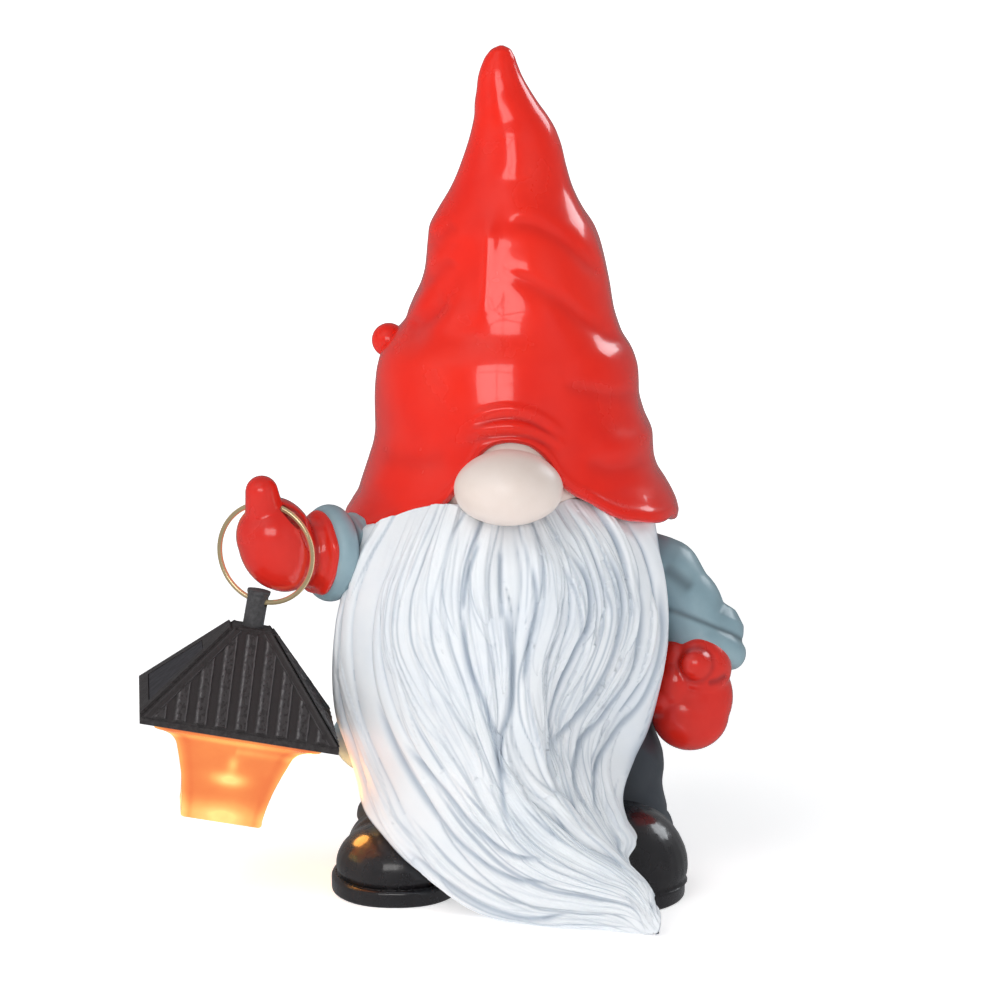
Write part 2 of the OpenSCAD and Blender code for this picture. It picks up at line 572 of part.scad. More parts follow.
z_pcb = z_cb + 3.5;
module circuit_board() {
    color([0.1, 0.35, 0.15]) in_lantern() difference() {
        translate([-13, -16, z_pcb]) cube([26, 16.8, 1.6]);
        for (s = [-1, 1]) {
            translate([s * 11.4, -9, z_pcb - 1]) cylinder(r = 0.8, h = 4, $fn = 20);
            translate([s * 1.27, -3, z_pcb - 1]) cylinder(r = 0.4, h = 4, $fn = 16);
        }
    }
}
module driver_chip() {
    color([0.15, 0.15, 0.15]) in_lantern() translate([-8.5, -12, z_pcb + 1.6]) union() {
        translate([-2, -2.5, 0.2]) cube([4, 5, 1.4]);
        for (s = [-1, 1]) for (i = [-1.5:1:1.5]) translate([s * 2.4 - 0.6, i * 1.2 - 0.2, 0]) cube([1.2, 0.4, 0.5]);
    }
}
module choke() {
    color([0.3, 0.45, 0.3]) in_lantern() translate([7.5, -12, z_pcb + 1.6]) union() {
        cylinder(r = 2.6, h = 0.8, $fn = 32);
        cylinder(r = 1.7, h = 4, $fn = 32);
        translate([0, 0, 3.2]) cylinder(r = 2.6, h = 0.8, $fn = 32);
    }
}

cell_y = 8.6;
z_cell = z_cb + 1.9 + cell_d / 2;
module battery() {
    color([0.25, 0.45, 0.3]) in_lantern() translate([-cell_l / 2, cell_y, z_cell]) rotate([0, 90, 0]) union() {
        cylinder(d = cell_d, h = cell_l - 0.8, $fn = 48);
        cylinder(r = 1.9, h = cell_l, $fn = 32);
    }
}
module contact_spring() {
    turns = 2.5;
    path = [for (i = [0:50]) let (f = i / 50, a = 360 * turns * f, r = 3.4 - 1.4 * f)
        [-cell_l / 2 - 2.2 + 1.7 * f, cell_y + r * cos(a), z_cell + r * sin(a)]];
    color(c_steel) in_lantern() rod(path, 0.22, 8);
}
module contact_plate() {
    color(c_steel) in_lantern() translate([cell_l / 2 + 0.2, cell_y - 3.5, z_cell - 4]) cube([0.4, 7, 7]);
}

module switch_body() {
    color([0.75, 0.75, 0.76]) in_lantern() difference() {
        translate([-4.2, -14.2, z_cb - 0.4]) cube([8.4, 3.8, 3.6]);
        translate([-0.85 - switch_travel / 2 - 0.15, -13.2, z_cb - 1]) cube([1.7 + switch_travel + 0.3, 1.8, 3]);
    }
}
module switch_slider() {
    color([0.08, 0.08, 0.08]) in_lantern()
        translate([-0.85 - switch_travel / 2, -13, z_cb - 2.4]) cube([1.7, 1.4, 4]);
}

module chassis_screws() {
    color(c_steel) in_lantern() for (i = [-1, 1]) for (j = [-1, 1]) translate([18.5 * i, 18.5 * j, 0]) {
        translate([0, 0, z_cb - 1.25]) difference() {
            cylinder(r = 2, h = 1.2, $fn = 32);
            translate([-1.3, -0.25, -1]) cube([2.6, 0.5, 1.5]);
            translate([-0.25, -1.3, -1]) cube([0.5, 2.6, 1.5]);
        }
        translate([0, 0, z_cb - 0.1]) cylinder(r = 0.85, h = 6, $fn = 24);
    }
}

module solar_leads() {
    color([0.7, 0.1, 0.1]) in_lantern() for (s = [-1, 1])
        rod(bez([-18.6, s * 0.6, -26.9], [-13, s * 0.8, -24], [-9, -3 + s, -24.6], [-6 + s * 1.2, -3.4, z_pcb + 2.3], 16), 0.45, 8);
}
module battery_leads() {
    color([0.08, 0.08, 0.08]) in_lantern() {
        rod(bez([16.15, 8, z_cell + 3.6], [16.4, 4, z_cell + 3.2], [14, -2, z_cell], [11.2, -2.6, z_pcb + 2.3], 14), 0.45, 8);
        rod(bez([-17.6, 5.2, z_cell - 1], [-17, 1, z_cell - 0.6], [-13.6, -1.4, z_pcb + 4], [-11.4, -3, z_pcb + 2.3], 14), 0.45, 8);
    }
}

hat();
head();
nose();
beard();
coat();
trousers();
boot_left();
boot_right();
sleeve_raised();
mitten_raised();
sleeve_lowered();
mitten_lowered();
hanging_ring();
hanger_post();
lantern_roof();
solar_cell();
cell_cover();
chassis_plate();
lens();
led();
led_holder();
circuit_board();
driver_chip();
choke();
battery();
contact_spring();
contact_plate();
switch_body();
switch_slider();
chassis_screws();
solar_leads();
battery_leads();
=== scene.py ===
import math

import bmesh
import bpy
import numpy as np
from mathutils import Matrix, Vector


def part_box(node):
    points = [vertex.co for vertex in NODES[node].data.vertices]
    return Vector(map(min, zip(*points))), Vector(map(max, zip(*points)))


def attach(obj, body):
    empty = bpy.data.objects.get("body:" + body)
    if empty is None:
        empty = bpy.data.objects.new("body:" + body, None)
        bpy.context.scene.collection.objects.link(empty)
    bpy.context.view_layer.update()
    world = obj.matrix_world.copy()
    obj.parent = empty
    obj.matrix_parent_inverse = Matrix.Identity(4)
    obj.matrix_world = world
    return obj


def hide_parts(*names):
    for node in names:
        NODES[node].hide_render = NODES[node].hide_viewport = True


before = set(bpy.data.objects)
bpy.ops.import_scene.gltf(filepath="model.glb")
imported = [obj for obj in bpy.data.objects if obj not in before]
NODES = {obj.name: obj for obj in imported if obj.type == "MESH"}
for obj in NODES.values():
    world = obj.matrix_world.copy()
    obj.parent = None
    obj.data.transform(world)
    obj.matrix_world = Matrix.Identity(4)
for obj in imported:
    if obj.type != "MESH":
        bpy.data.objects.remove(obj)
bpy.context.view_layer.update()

# the drawing's own axis stands at this place in the row frame (millimetres)
OX, OY = 17.925, 12.035

# ------------------------------------------------------------------ camera

ELEV = math.radians(12.0)
DIST = 1100.0          # mm from the target
TARGET_Z = 113.6
FOCAL = 1100.0 / 0.3013  # pixels of a 1001 frame
CE, SE = math.cos(ELEV), math.sin(ELEV)

cam_data = bpy.data.cameras.new("camera")
cam = bpy.data.objects.new("camera", cam_data)
bpy.context.scene.collection.objects.link(cam)
cam_data.sensor_width = 36.0
cam_data.lens = FOCAL * 36.0 / 1001.0
cam_data.clip_end = 20
cam.location = (OX / 1000, (OY - DIST * CE) / 1000, (TARGET_Z + DIST * SE) / 1000)
cam.rotation_euler = (math.radians(90) - ELEV, 0, 0)
bpy.context.scene.camera = cam


def front_view(p):
    """Design point (mm) -> place in the upright front view, in 1001ths of the frame."""
    x, y, z = p[..., 0], p[..., 1], p[..., 2]
    d = DIST + y * CE - (z - TARGET_Z) * SE
    up = y * SE + (z - TARGET_Z) * CE
    return 500.5 + FOCAL * x / d, 500.5 - FOCAL * up / d


def from_front(px, py, y):
    """Place in the front view and a depth y -> design point (mm)."""
    u = (500.5 - py) / FOCAL
    zeta = (u * (DIST + y * CE) - y * SE) / (CE + u * SE)
    d = DIST + y * CE - zeta * SE
    return np.stack([(px - 500.5) * d / FOCAL, y + 0 * px, zeta + TARGET_Z], axis=-1)


# ------------------------------------------------------------------ numbers

def resample(a, t, tn):
    """Smooth curve through the rows of a at places t, read at tn. Works on any trailing shape."""
    a = np.asarray(a, float)
    t = np.asarray(t, float)
    tn = np.clip(np.asarray(tn, float), t[0], t[-1])
    h = np.diff(t)
    sl = np.diff(a, axis=0) / h.reshape((-1,) + (1,) * (a.ndim - 1))
    m = np.empty_like(a)
    m[0], m[-1] = sl[0], sl[-1]
    w = h[1:] / (h[1:] + h[:-1])
    w = w.reshape((-1,) + (1,) * (a.ndim - 1))
    m[1:-1] = w * sl[:-1] + (1 - w) * sl[1:]
    i = np.clip(np.searchsorted(t, tn, side="right") - 1, 0, len(t) - 2)
    hh = h[i].reshape((-1,) + (1,) * (a.ndim - 1))
    f = ((tn - t[i]) / h[i]).reshape((-1,) + (1,) * (a.ndim - 1))
    return ((2 * f**3 - 3 * f**2 + 1) * a[i] + (f**3 - 2 * f**2 + f) * hh * m[i]
            + (-2 * f**3 + 3 * f**2) * a[i + 1] + (f**3 - f**2) * hh * m[i + 1])


def tab(rows, x, k):
    rows = np.asarray(rows, float)
    return resample(rows[:, k], rows[:, 0], np.ravel(x)).reshape(np.shape(x))


_lat = np.random.RandomState(7).rand(24, 24, 24)


def noise(x, y, z=0.0, octaves=1):
    """Smooth lattice noise, -1 to 1."""
    x, y, z = np.broadcast_arrays(np.asarray(x, float), np.asarray(y, float), np.asarray(z, float))
    out = np.zeros(x.shape)
    amp, tot = 1.0, 0.0
    for o in range(octaves):
        k = 2.0 ** o
        q = [x * k + 3.1 * o, y * k + 7.7 * o, z * k + 1.3 * o]
        i = [np.floor(v).astype(int) for v in q]
        f = [v - np.floor(v) for v in q]
        f = [v * v * (3 - 2 * v) for v in f]
        s = 0
        for a in (0, 1):
            for b in (0, 1):
                for c in (0, 1):
                    wgt = ((f[0] if a else 1 - f[0]) * (f[1] if b else 1 - f[1])
                           * (f[2] if c else 1 - f[2]))
                    s = s + wgt * _lat[(i[0] + a) % 24, (i[1] + b) % 24, (i[2] + c) % 24]
        out += amp * (2 * s - 1)
        tot += amp
        amp *= 0.5
    return out / tot


def smooth01(x):
    x = np.clip(x, 0, 1)
    return x * x * (3 - 2 * x)


def line_dist(px, py, pts):
    """Signed distance to an open line through pts (positive on its left side), and how far along, 0 to 1."""
    pts = np.asarray(pts, float)
    best = np.full(px.shape, 1e9)
    side = np.zeros(px.shape)
    along = np.zeros(px.shape)
    seg = np.linalg.norm(np.diff(pts, axis=0), axis=1)
    cum = np.concatenate([[0], np.cumsum(seg)]) / seg.sum()
    for k in range(len(pts) - 1):
        a, b = pts[k], pts[k + 1]
        d = b - a
        t = np.clip(((px - a[0]) * d[0] + (py - a[1]) * d[1]) / (d @ d), 0, 1)
        qx, qy = a[0] + t * d[0], a[1] + t * d[1]
        r = np.hypot(px - qx, py - qy)
        s = np.sign(d[0] * (py - a[1]) - d[1] * (px - a[0]))
        m = r < best
        best = np.where(m, r, best)
        side = np.where(m, s, side)
        along = np.where(m, cum[k] + t * (cum[k + 1] - cum[k]), along)
    return best * side, along


def curve2(pts, n=40):
    pts = np.asarray(pts, float)
    t = np.concatenate([[0], np.cumsum(np.linalg.norm(np.diff(pts, axis=0), axis=1))])
    return resample(pts, t / t[-1], np.linspace(0, 1, n))


# ------------------------------------------------------------------ mesh helpers

def add_mesh(name, verts_mm, faces, body, replaces=(), shift=True, smooth=True, mat=None):
    v = np.asarray(verts_mm, float).reshape(-1, 3).copy()
    if shift:
        v += [OX, OY, 0]
    me = bpy.data.meshes.new(name)
    me.from_pydata((v / 1000).tolist(), [], faces)
    me.validate()
    ob = bpy.data.objects.new(name, me)
    bpy.context.scene.collection.objects.link(ob)
    if smooth:
        me.polygons.foreach_set("use_smooth", [True] * len(me.polygons))
    if mat:
        me.materials.append(mat)
    if body:
        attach(ob, body)
        if replaces:
            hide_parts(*replaces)
    return ob


def grid_faces(m, n, wrap=True, flip=False):
    """Quads of an m x n grid of points (row-major); wrap joins the last column to the first."""
    j, i = np.meshgrid(np.arange(m - 1), np.arange(n if wrap else n - 1), indexing="ij")
    a = j * n + i
    b = j * n + (i + 1) % n
    c = (j + 1) * n + (i + 1) % n
    d = (j + 1) * n + i
    q = np.stack([a, b, c, d], -1).reshape(-1, 4)
    if flip:
        q = q[:, ::-1]
    return q.tolist()


def add_attr(ob, name, values):
    a = ob.data.attributes.new(name, "FLOAT", "POINT")
    a.data.foreach_set("value", np.asarray(values, np.float32).ravel())


def apply_mods(ob):
    dg = bpy.context.evaluated_depsgraph_get()
    me = bpy.data.meshes.new_from_object(ob.evaluated_get(dg))
    ob.modifiers.clear()
    old = ob.data
    ob.data = me
    bpy.data.meshes.remove(old)


def get_v(ob):
    n = len(ob.data.vertices)
    v = np.empty(n * 3)
    ob.data.vertices.foreach_get("co", v)
    return v.reshape(-1, 3) * 1000 - [OX, OY, 0]


def set_v(ob, v):
    ob.data.vertices.foreach_set("co", ((np.asarray(v) + [OX, OY, 0]) / 1000).ravel())
    ob.data.update()


def get_n(ob):
    n = len(ob.data.vertices)
    v = np.empty(n * 3)
    ob.data.vertices.foreach_get("normal", v)
    return v.reshape(-1, 3)


def capsule(a, b, ra, rb, n=28, m=9):
    """Round-ended tapered rod as verts and faces."""
    a, b = np.asarray(a, float), np.asarray(b, float)
    ax = b - a
    ln = np.linalg.norm(ax)
    ax = ax / ln if ln > 1e-6 else np.array([0, 0, 1.0])
    ref = np.array([1.0, 0, 0]) if abs(ax[0]) < 0.8 else np.array([0, 1.0, 0])
    u = np.cross(ax, ref)
    u /= np.linalg.norm(u)
    w = np.cross(ax, u)
    rings = []
    for t in np.linspace(-90, 0, m):
        rings.append((a + ax * ra * math.sin(math.radians(t)), ra * math.cos(math.radians(t))))
    for t in np.linspace(0, 90, m):
        rings.append((b + ax * rb * math.sin(math.radians(t)), rb * math.cos(math.radians(t))))
    v = []
    for c, r in rings:
        r = max(r, 0.02)
        for i in range(n):
            th = 2 * math.pi * i / n
            v.append(c + r * (math.cos(th) * u + math.sin(th) * w))
    f = grid_faces(len(rings), n)
    f.append(list(range(n))[::-1])
    f.append(list(range((len(rings) - 1) * n, len(rings) * n)))
    return np.array(v), f


def ellipsoid(c, r, rot=(0, 0, 0), n=32, m=20):
    v = []
    R = Matrix.Rotation(math.radians(rot[2]), 3, "Z") @ Matrix.Rotation(math.radians(rot[1]), 3, "Y") @ Matrix.Rotation(math.radians(rot[0]), 3, "X")
    R = np.array(R)
    for j in range(m + 1):
        ph = math.radians(-90 + 180 * j / m)
        for i in range(n):
            th = 2 * math.pi * i / n
            k = max(math.cos(ph), 0.004)
            v.append([r[0] * k * math.cos(th), r[1] * k * math.sin(th), r[2] * math.sin(ph)])
    v = np.array(v) @ R.T + np.asarray(c, float)
    f = grid_faces(m + 1, n)
    f.append(list(range(n))[::-1])
    f.append(list(range(m * n, (m + 1) * n)))
    return v, f


def torus(c, axis, R, r, n=64, m=20, squash=1.0):
    axis = np.asarray(axis, float) / np.linalg.norm(axis)
    ref = np.array([0, 0, 1.0]) if abs(axis[2]) < 0.8 else np.array([1.0, 0, 0])
    u = np.cross(axis, ref)
    u /= np.linalg.norm(u)
    w = np.cross(axis, u)
    th = np.linspace(0, 2 * np.pi, n, endpoint=False)[:, None, None]
    ph = np.linspace(0, 2 * np.pi, m, endpoint=False)[None, :, None]
    rad = np.cos(th) * u + np.sin(th) * w
    v = np.asarray(c, float) + rad * (R + r * np.cos(ph)) + axis * (r * squash * np.sin(ph))
    v = v.reshape(-1, 3)
    f = []
    for i in range(n):
        for j in range(m):
            f.append([i * m + j, ((i + 1) % n) * m + j, ((i + 1) % n) * m + (j + 1) % m, i * m + (j + 1) % m])
    return v, f


def merge(parts):
    vs, fs, o = [], [], 0
    for v, f in parts:
        vs.append(v)
        fs += [[i + o for i in q] for q in f]
        o += len(v)
    return np.concatenate(vs), fs


def blob(name, parts, voxel, smooth_n, body, replaces, mat, smooth_f=0.6):
    """Melts overlapping round parts into one skin and smooths it."""
    v, f = merge(parts)
    ob = add_mesh(name, v, f, None, mat=mat)
    rm = ob.modifiers.new("melt", "REMESH")
    rm.mode = "VOXEL"
    rm.voxel_size = voxel / 1000
    rm.use_smooth_shade = True
    sm = ob.modifiers.new("smooth", "SMOOTH")
    sm.factor = smooth_f
    sm.iterations = smooth_n
    apply_mods(ob)
    if mat and not ob.data.materials:
        ob.data.materials.append(mat)
    ob.data.polygons.foreach_set("use_smooth", [True] * len(ob.data.polygons))
    if body:
        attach(ob, body)
        if replaces:
            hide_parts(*replaces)
    return ob


# ------------------------------------------------------------------ materials

def new_mat(name):
    m = bpy.data.materials.new(name)
    m.use_nodes = True
    nt = m.node_tree
    b = nt.nodes["Principled BSDF"]
    return m, nt, b


def nd(nt, kind, **kw):
    n = nt.nodes.new(kind)
    for k, v in kw.items():
        if k == "inputs":
            for a, b in v.items():
                n.inputs[a].default_value = b
        else:
            setattr(n, k, v)
    return n


def ramp(nt, stops):
    r = nt.nodes.new("ShaderNodeValToRGB")
    e = r.color_ramp.elements
    while len(e) < len(stops):
        e.new(0.5)
    for el, (p, c) in zip(e, stops):
        el.position = p
        el.color = (*c, 1) if len(c) == 3 else c
    return r


def lin(c):
    """sRGB 0-255 to linear."""
    out = []
    for v in c:
        v = v / 255
        out.append(v / 12.92 if v <= 0.04045 else ((v + 0.055) / 1.055) ** 2.4)
    return tuple(out)


def painted(name, base, dark, light, rough, coat=0.0, coat_rough=0.08, scale=60.0, bump=0.02,
            fine=900.0, fine_bump=0.004, spec=0.5, attr=None, crease_shade_col=None, rough_var=0.06, worn=None):
    """Brush-painted cast resin: patchy colour, soft brush undulation, fine grain, and painted shade in the creases."""
    m, nt, b = new_mat(name)
    tc = nd(nt, "ShaderNodeTexCoord")
    n1 = nd(nt, "ShaderNodeTexNoise", inputs={"Scale": scale, "Detail": 5.0, "Roughness": 0.55})
    nt.links.new(tc.outputs["Object"], n1.inputs["Vector"])
    r1 = ramp(nt, [(0.32, dark), (0.5, base), (0.72, light)])
    nt.links.new(n1.outputs["Fac"], r1.inputs["Fac"])
    col = r1.outputs["Color"]
    # painted shade: the crease attribute mixes the darker crease colour in where creases and hollows lie in shade
    if attr:
        at = nd(nt, "ShaderNodeAttribute", attribute_name=attr)
        mx = nd(nt, "ShaderNodeMix", data_type="RGBA")
        nt.links.new(at.outputs["Fac"], mx.inputs["Factor"])
        nt.links.new(col, mx.inputs["A"])
        mx.inputs["B"].default_value = (*crease_shade_col, 1)
        col = mx.outputs["Result"]
    if worn:
        # tiny chips and scuffs where the paint has rubbed
        v = nd(nt, "ShaderNodeTexNoise", inputs={"Scale": 420.0, "Detail": 8.0, "Roughness": 0.7})
        nt.links.new(tc.outputs["Object"], v.inputs["Vector"])
        rr = ramp(nt, [(0.70, (0, 0, 0)), (0.76, (0.5, 0.5, 0.5))])
        nt.links.new(v.outputs["Fac"], rr.inputs["Fac"])
        mw = nd(nt, "ShaderNodeMix", data_type="RGBA")
        nt.links.new(rr.outputs["Color"], mw.inputs["Factor"])
        nt.links.new(col, mw.inputs["A"])
        mw.inputs["B"].default_value = (*worn, 1)
        col = mw.outputs["Result"]
    nt.links.new(col, b.inputs["Base Color"])
    # roughness patches
    n2 = nd(nt, "ShaderNodeTexNoise", inputs={"Scale": scale * 2.3, "Detail": 4.0})
    nt.links.new(tc.outputs["Object"], n2.inputs["Vector"])
    mr = nd(nt, "ShaderNodeMapRange", inputs={"From Min": 0.3, "From Max": 0.7,
                                              "To Min": rough - rough_var, "To Max": rough + rough_var})
    nt.links.new(n2.outputs["Fac"], mr.inputs["Value"])
    nt.links.new(mr.outputs["Result"], b.inputs["Roughness"])
    b.inputs["Specular IOR Level"].default_value = spec
    if coat:
        b.inputs["Coat Weight"].default_value = coat
        b.inputs["Coat Roughness"].default_value = coat_rough
    # two scales of bump: brushed lumps and fine casting grain
    bm = nd(nt, "ShaderNodeBump", inputs={"Strength": 0.35, "Distance": bump / 1000 * 10})
    nt.links.new(n2.outputs["Fac"], bm.inputs["Height"])
    n3 = nd(nt, "ShaderNodeTexNoise", inputs={"Scale": fine, "Detail": 3.0})
    nt.links.new(tc.outputs["Object"], n3.inputs["Vector"])
    bf = nd(nt, "ShaderNodeBump", inputs={"Strength": 0.4, "Distance": fine_bump / 1000 * 10})
    nt.links.new(n3.outputs["Fac"], bf.inputs["Height"])
    nt.links.new(bm.outputs["Normal"], bf.inputs["Normal"])
    nt.links.new(bf.outputs["Normal"], b.inputs["Normal"])
    if coat:
        nt.links.new(bm.outputs["Normal"], b.inputs["Coat Normal"])
    return m


# in each paint below, the colour given for the creases is painted shade
M_HAT = painted("hat_paint", (0.86, 0.016, 0.004), (0.80, 0.012, 0.003), (0.90, 0.022, 0.006), 0.24,
                coat=0.7, coat_rough=0.05, scale=30, bump=0.010, fine=700, fine_bump=0.002,
                attr="crease", crease_shade_col=(0.42, 0.010, 0.010))
M_MITT = painted("mitten_paint", (0.74, 0.022, 0.012), (0.70, 0.019, 0.011), (0.78, 0.027, 0.014), 0.24,
                 coat=0.8, coat_rough=0.09, scale=40, bump=0.006, fine=900, fine_bump=0.002,
                 attr="crease", crease_shade_col=(0.30, 0.010, 0.012))
M_SKIN = painted("skin_paint", (0.80, 0.69, 0.63), (0.76, 0.64, 0.58), (0.84, 0.74, 0.69), 0.40,
                 coat=0.25, coat_rough=0.25, scale=50, bump=0.02, fine=1200, fine_bump=0.002,
                 attr="crease", crease_shade_col=(0.58, 0.45, 0.41))
M_BEARD = painted("beard_paint", (0.84, 0.88, 0.92), (0.79, 0.84, 0.90), (0.89, 0.91, 0.94), 0.42,
                  coat=0.15, coat_rough=0.35, scale=40, bump=0.02, fine=1500, fine_bump=0.003,
                  attr="crease", crease_shade_col=(0.38, 0.45, 0.54))
M_COAT = painted("coat_paint", (0.27, 0.40, 0.46), (0.235, 0.35, 0.405), (0.32, 0.455, 0.51), 0.36,
                 coat=0.30, coat_rough=0.22, scale=55, bump=0.03, fine=1100, fine_bump=0.004,
                 attr="crease", crease_shade_col=(0.10, 0.14, 0.165))
# trouser paint: the coat's blue-grey made much darker, as painted shade on the legs under the coat
M_TROUSER_SHADED = painted("trouser_paint", (0.047, 0.058, 0.072), (0.039, 0.048, 0.061), (0.061, 0.072, 0.085), 0.45,
                    coat=0.2, coat_rough=0.3, scale=55, bump=0.03, fine=1100, fine_bump=0.004,
                    attr="crease", crease_shade_col=(0.035, 0.045, 0.06))
M_BOOT = painted("boot_paint", (0.020, 0.019, 0.021), (0.014, 0.013, 0.015), (0.030, 0.028, 0.030), 0.27,
                 coat=0.7, coat_rough=0.12, scale=60, bump=0.03, fine=900, fine_bump=0.003,
                 attr="crease", crease_shade_col=(0.008, 0.007, 0.008))


def moulded(name, base, light, rough, grain=1400.0, depth=0.05, spec=0.5, streak=False):
    """Moulded plastic: fine texture, patchy sheen, paler colour where the fine grain stands proud."""
    m, nt, b = new_mat(name)
    tc = nd(nt, "ShaderNodeTexCoord")
    n1 = nd(nt, "ShaderNodeTexNoise", inputs={"Scale": grain, "Detail": 6.0, "Roughness": 0.6})
    nt.links.new(tc.outputs["Object"], n1.inputs["Vector"])
    n2 = nd(nt, "ShaderNodeTexNoise", inputs={"Scale": 130.0, "Detail": 4.0})
    nt.links.new(tc.outputs["Object"], n2.inputs["Vector"])
    r1 = ramp(nt, [(0.35, base), (0.7, light)])
    nt.links.new(n1.outputs["Fac"], r1.inputs["Fac"])
    nt.links.new(r1.outputs["Color"], b.inputs["Base Color"])
    mr = nd(nt, "ShaderNodeMapRange", inputs={"From Min": 0.3, "From Max": 0.7, "To Min": rough - 0.09, "To Max": rough + 0.09})
    nt.links.new(n2.outputs["Fac"], mr.inputs["Value"])
    nt.links.new(mr.outputs["Result"], b.inputs["Roughness"])
    b.inputs["Specular IOR Level"].default_value = spec
    bm = nd(nt, "ShaderNodeBump", inputs={"Strength": 0.5, "Distance": depth / 1000 * 10})
    nt.links.new(n1.outputs["Fac"], bm.inputs["Height"])
    nt.links.new(bm.outputs["Normal"], b.inputs["Normal"])
    return m


M_ROOF = moulded("roof_plastic", (0.036, 0.032, 0.033), (0.060, 0.056, 0.057), 0.50, grain=900, depth=0.04)
M_POST = moulded("post_plastic", (0.050, 0.049, 0.052), (0.085, 0.084, 0.088), 0.42, grain=1100, depth=0.04)
M_CHASSIS = moulded("chassis_plastic", (0.040, 0.039, 0.040), (0.07, 0.068, 0.07), 0.5)
M_WHITE = moulded("white_plastic", (0.78, 0.78, 0.74), (0.86, 0.86, 0.83), 0.4, depth=0.02)
M_BOARD = moulded("board_green", (0.02, 0.11, 0.045), (0.03, 0.17, 0.07), 0.35, grain=500, depth=0.03)
M_BLACK = moulded("component_black", (0.015, 0.015, 0.016), (0.03, 0.03, 0.032), 0.45, depth=0.02)
M_WRAP = moulded("cell_wrap", (0.04, 0.16, 0.07), (0.06, 0.22, 0.10), 0.3, grain=200, depth=0.02)
M_LEADS = moulded("lead_red", (0.45, 0.02, 0.015), (0.55, 0.03, 0.02), 0.45, grain=900, depth=0.02)


def metal(name, base, rough, scale=(2500.0, 40.0, 40.0), spread=0.05):
    m, nt, b = new_mat(name)
    b.inputs["Metallic"].default_value = 1.0
    tc = nd(nt, "ShaderNodeTexCoord")
    mp = nd(nt, "ShaderNodeMapping")
    mp.inputs["Scale"].default_value = scale
    nt.links.new(tc.outputs["Object"], mp.inputs["Vector"])
    n1 = nd(nt, "ShaderNodeTexNoise", inputs={"Scale": 1.0, "Detail": 3.0})
    nt.links.new(mp.outputs["Vector"], n1.inputs["Vector"])
    n2 = nd(nt, "ShaderNodeTexNoise", inputs={"Scale": 160.0, "Detail": 4.0})
    nt.links.new(tc.outputs["Object"], n2.inputs["Vector"])
    r1 = ramp(nt, [(0.35, tuple(c * 0.78 for c in base)), (0.65, base)])
    nt.links.new(n2.outputs["Fac"], r1.inputs["Fac"])
    nt.links.new(r1.outputs["Color"], b.inputs["Base Color"])
    mr = nd(nt, "ShaderNodeMapRange", inputs={"From Min": 0.3, "From Max": 0.7, "To Min": rough - spread, "To Max": rough + spread})
    nt.links.new(n2.outputs["Fac"], mr.inputs["Value"])
    nt.links.new(mr.outputs["Result"], b.inputs["Roughness"])
    bm = nd(nt, "ShaderNodeBump", inputs={"Strength": 0.15, "Distance": 0.0002})
    nt.links.new(n1.outputs["Fac"], bm.inputs["Height"])
    nt.links.new(bm.outputs["Normal"], b.inputs["Normal"])
    return m


M_BRASS_GLOW = metal("ring_brass_glow", (0.86, 0.66, 0.40), 0.22, spread=0.06)
M_STEEL = metal("bright_steel", (0.70, 0.70, 0.71), 0.28)


def solar():
    m, nt, b = new_mat("solar_silicon")
    tc = nd(nt, "ShaderNodeTexCoord")
    v = nd(nt, "ShaderNodeTexVoronoi", inputs={"Scale": 260.0})
    nt.links.new(tc.outputs["Object"], v.inputs["Vector"])
    r = ramp(nt, [(0.0, (0.006, 0.009, 0.03)), (1.0, (0.016, 0.024, 0.065))])
    nt.links.new(v.outputs["Color"], r.inputs["Fac"])
    w = nd(nt, "ShaderNodeTexWave", inputs={"Scale": 95.0, "Distortion": 0.0})
    w.bands_direction = "Y"
    nt.links.new(tc.outputs["Object"], w.inputs["Vector"])
    wr = ramp(nt, [(0.93, (0, 0, 0)), (0.97, (1, 1, 1))])
    nt.links.new(w.outputs["Fac"], wr.inputs["Fac"])
    mx = nd(nt, "ShaderNodeMix", data_type="RGBA")
    nt.links.new(wr.outputs["Color"], mx.inputs["Factor"])
    nt.links.new(r.outputs["Color"], mx.inputs["A"])
    mx.inputs["B"].default_value = (0.25, 0.26, 0.28, 1)
    nt.links.new(mx.outputs["Result"], b.inputs["Base Color"])
    b.inputs["Roughness"].default_value = 0.3
    return m


def cover():
    m, nt, b = new_mat("clear_cover")
    b.inputs["Base Color"].default_value = (0.030, 0.026, 0.028, 1)
    tc = nd(nt, "ShaderNodeTexCoord")
    n = nd(nt, "ShaderNodeTexNoise", inputs={"Scale": 300.0, "Detail": 6.0})
    nt.links.new(tc.outputs["Object"], n.inputs["Vector"])
    r = ramp(nt, [(0.3, (0.020, 0.019, 0.026)), (0.7, (0.034, 0.030, 0.036))])
    nt.links.new(n.outputs["Fac"], r.inputs["Fac"])
    nt.links.new(r.outputs["Color"], b.inputs["Base Color"])
    b.inputs["Transmission Weight"].default_value = 0.15
    b.inputs["IOR"].default_value = 1.3
    mr = nd(nt, "ShaderNodeMapRange", inputs={"From Min": 0.35, "From Max": 0.75, "To Min": 0.30, "To Max": 0.48})
    nt.links.new(n.outputs["Fac"], mr.inputs["Value"])
    nt.links.new(mr.outputs["Result"], b.inputs["Roughness"])
    return m


M_SOLAR = solar()
M_COVER = cover()

LENS_LO, LENS_HI = [np.array(v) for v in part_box("lens")]
LED_LO, LED_HI = [np.array(v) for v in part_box("led")]


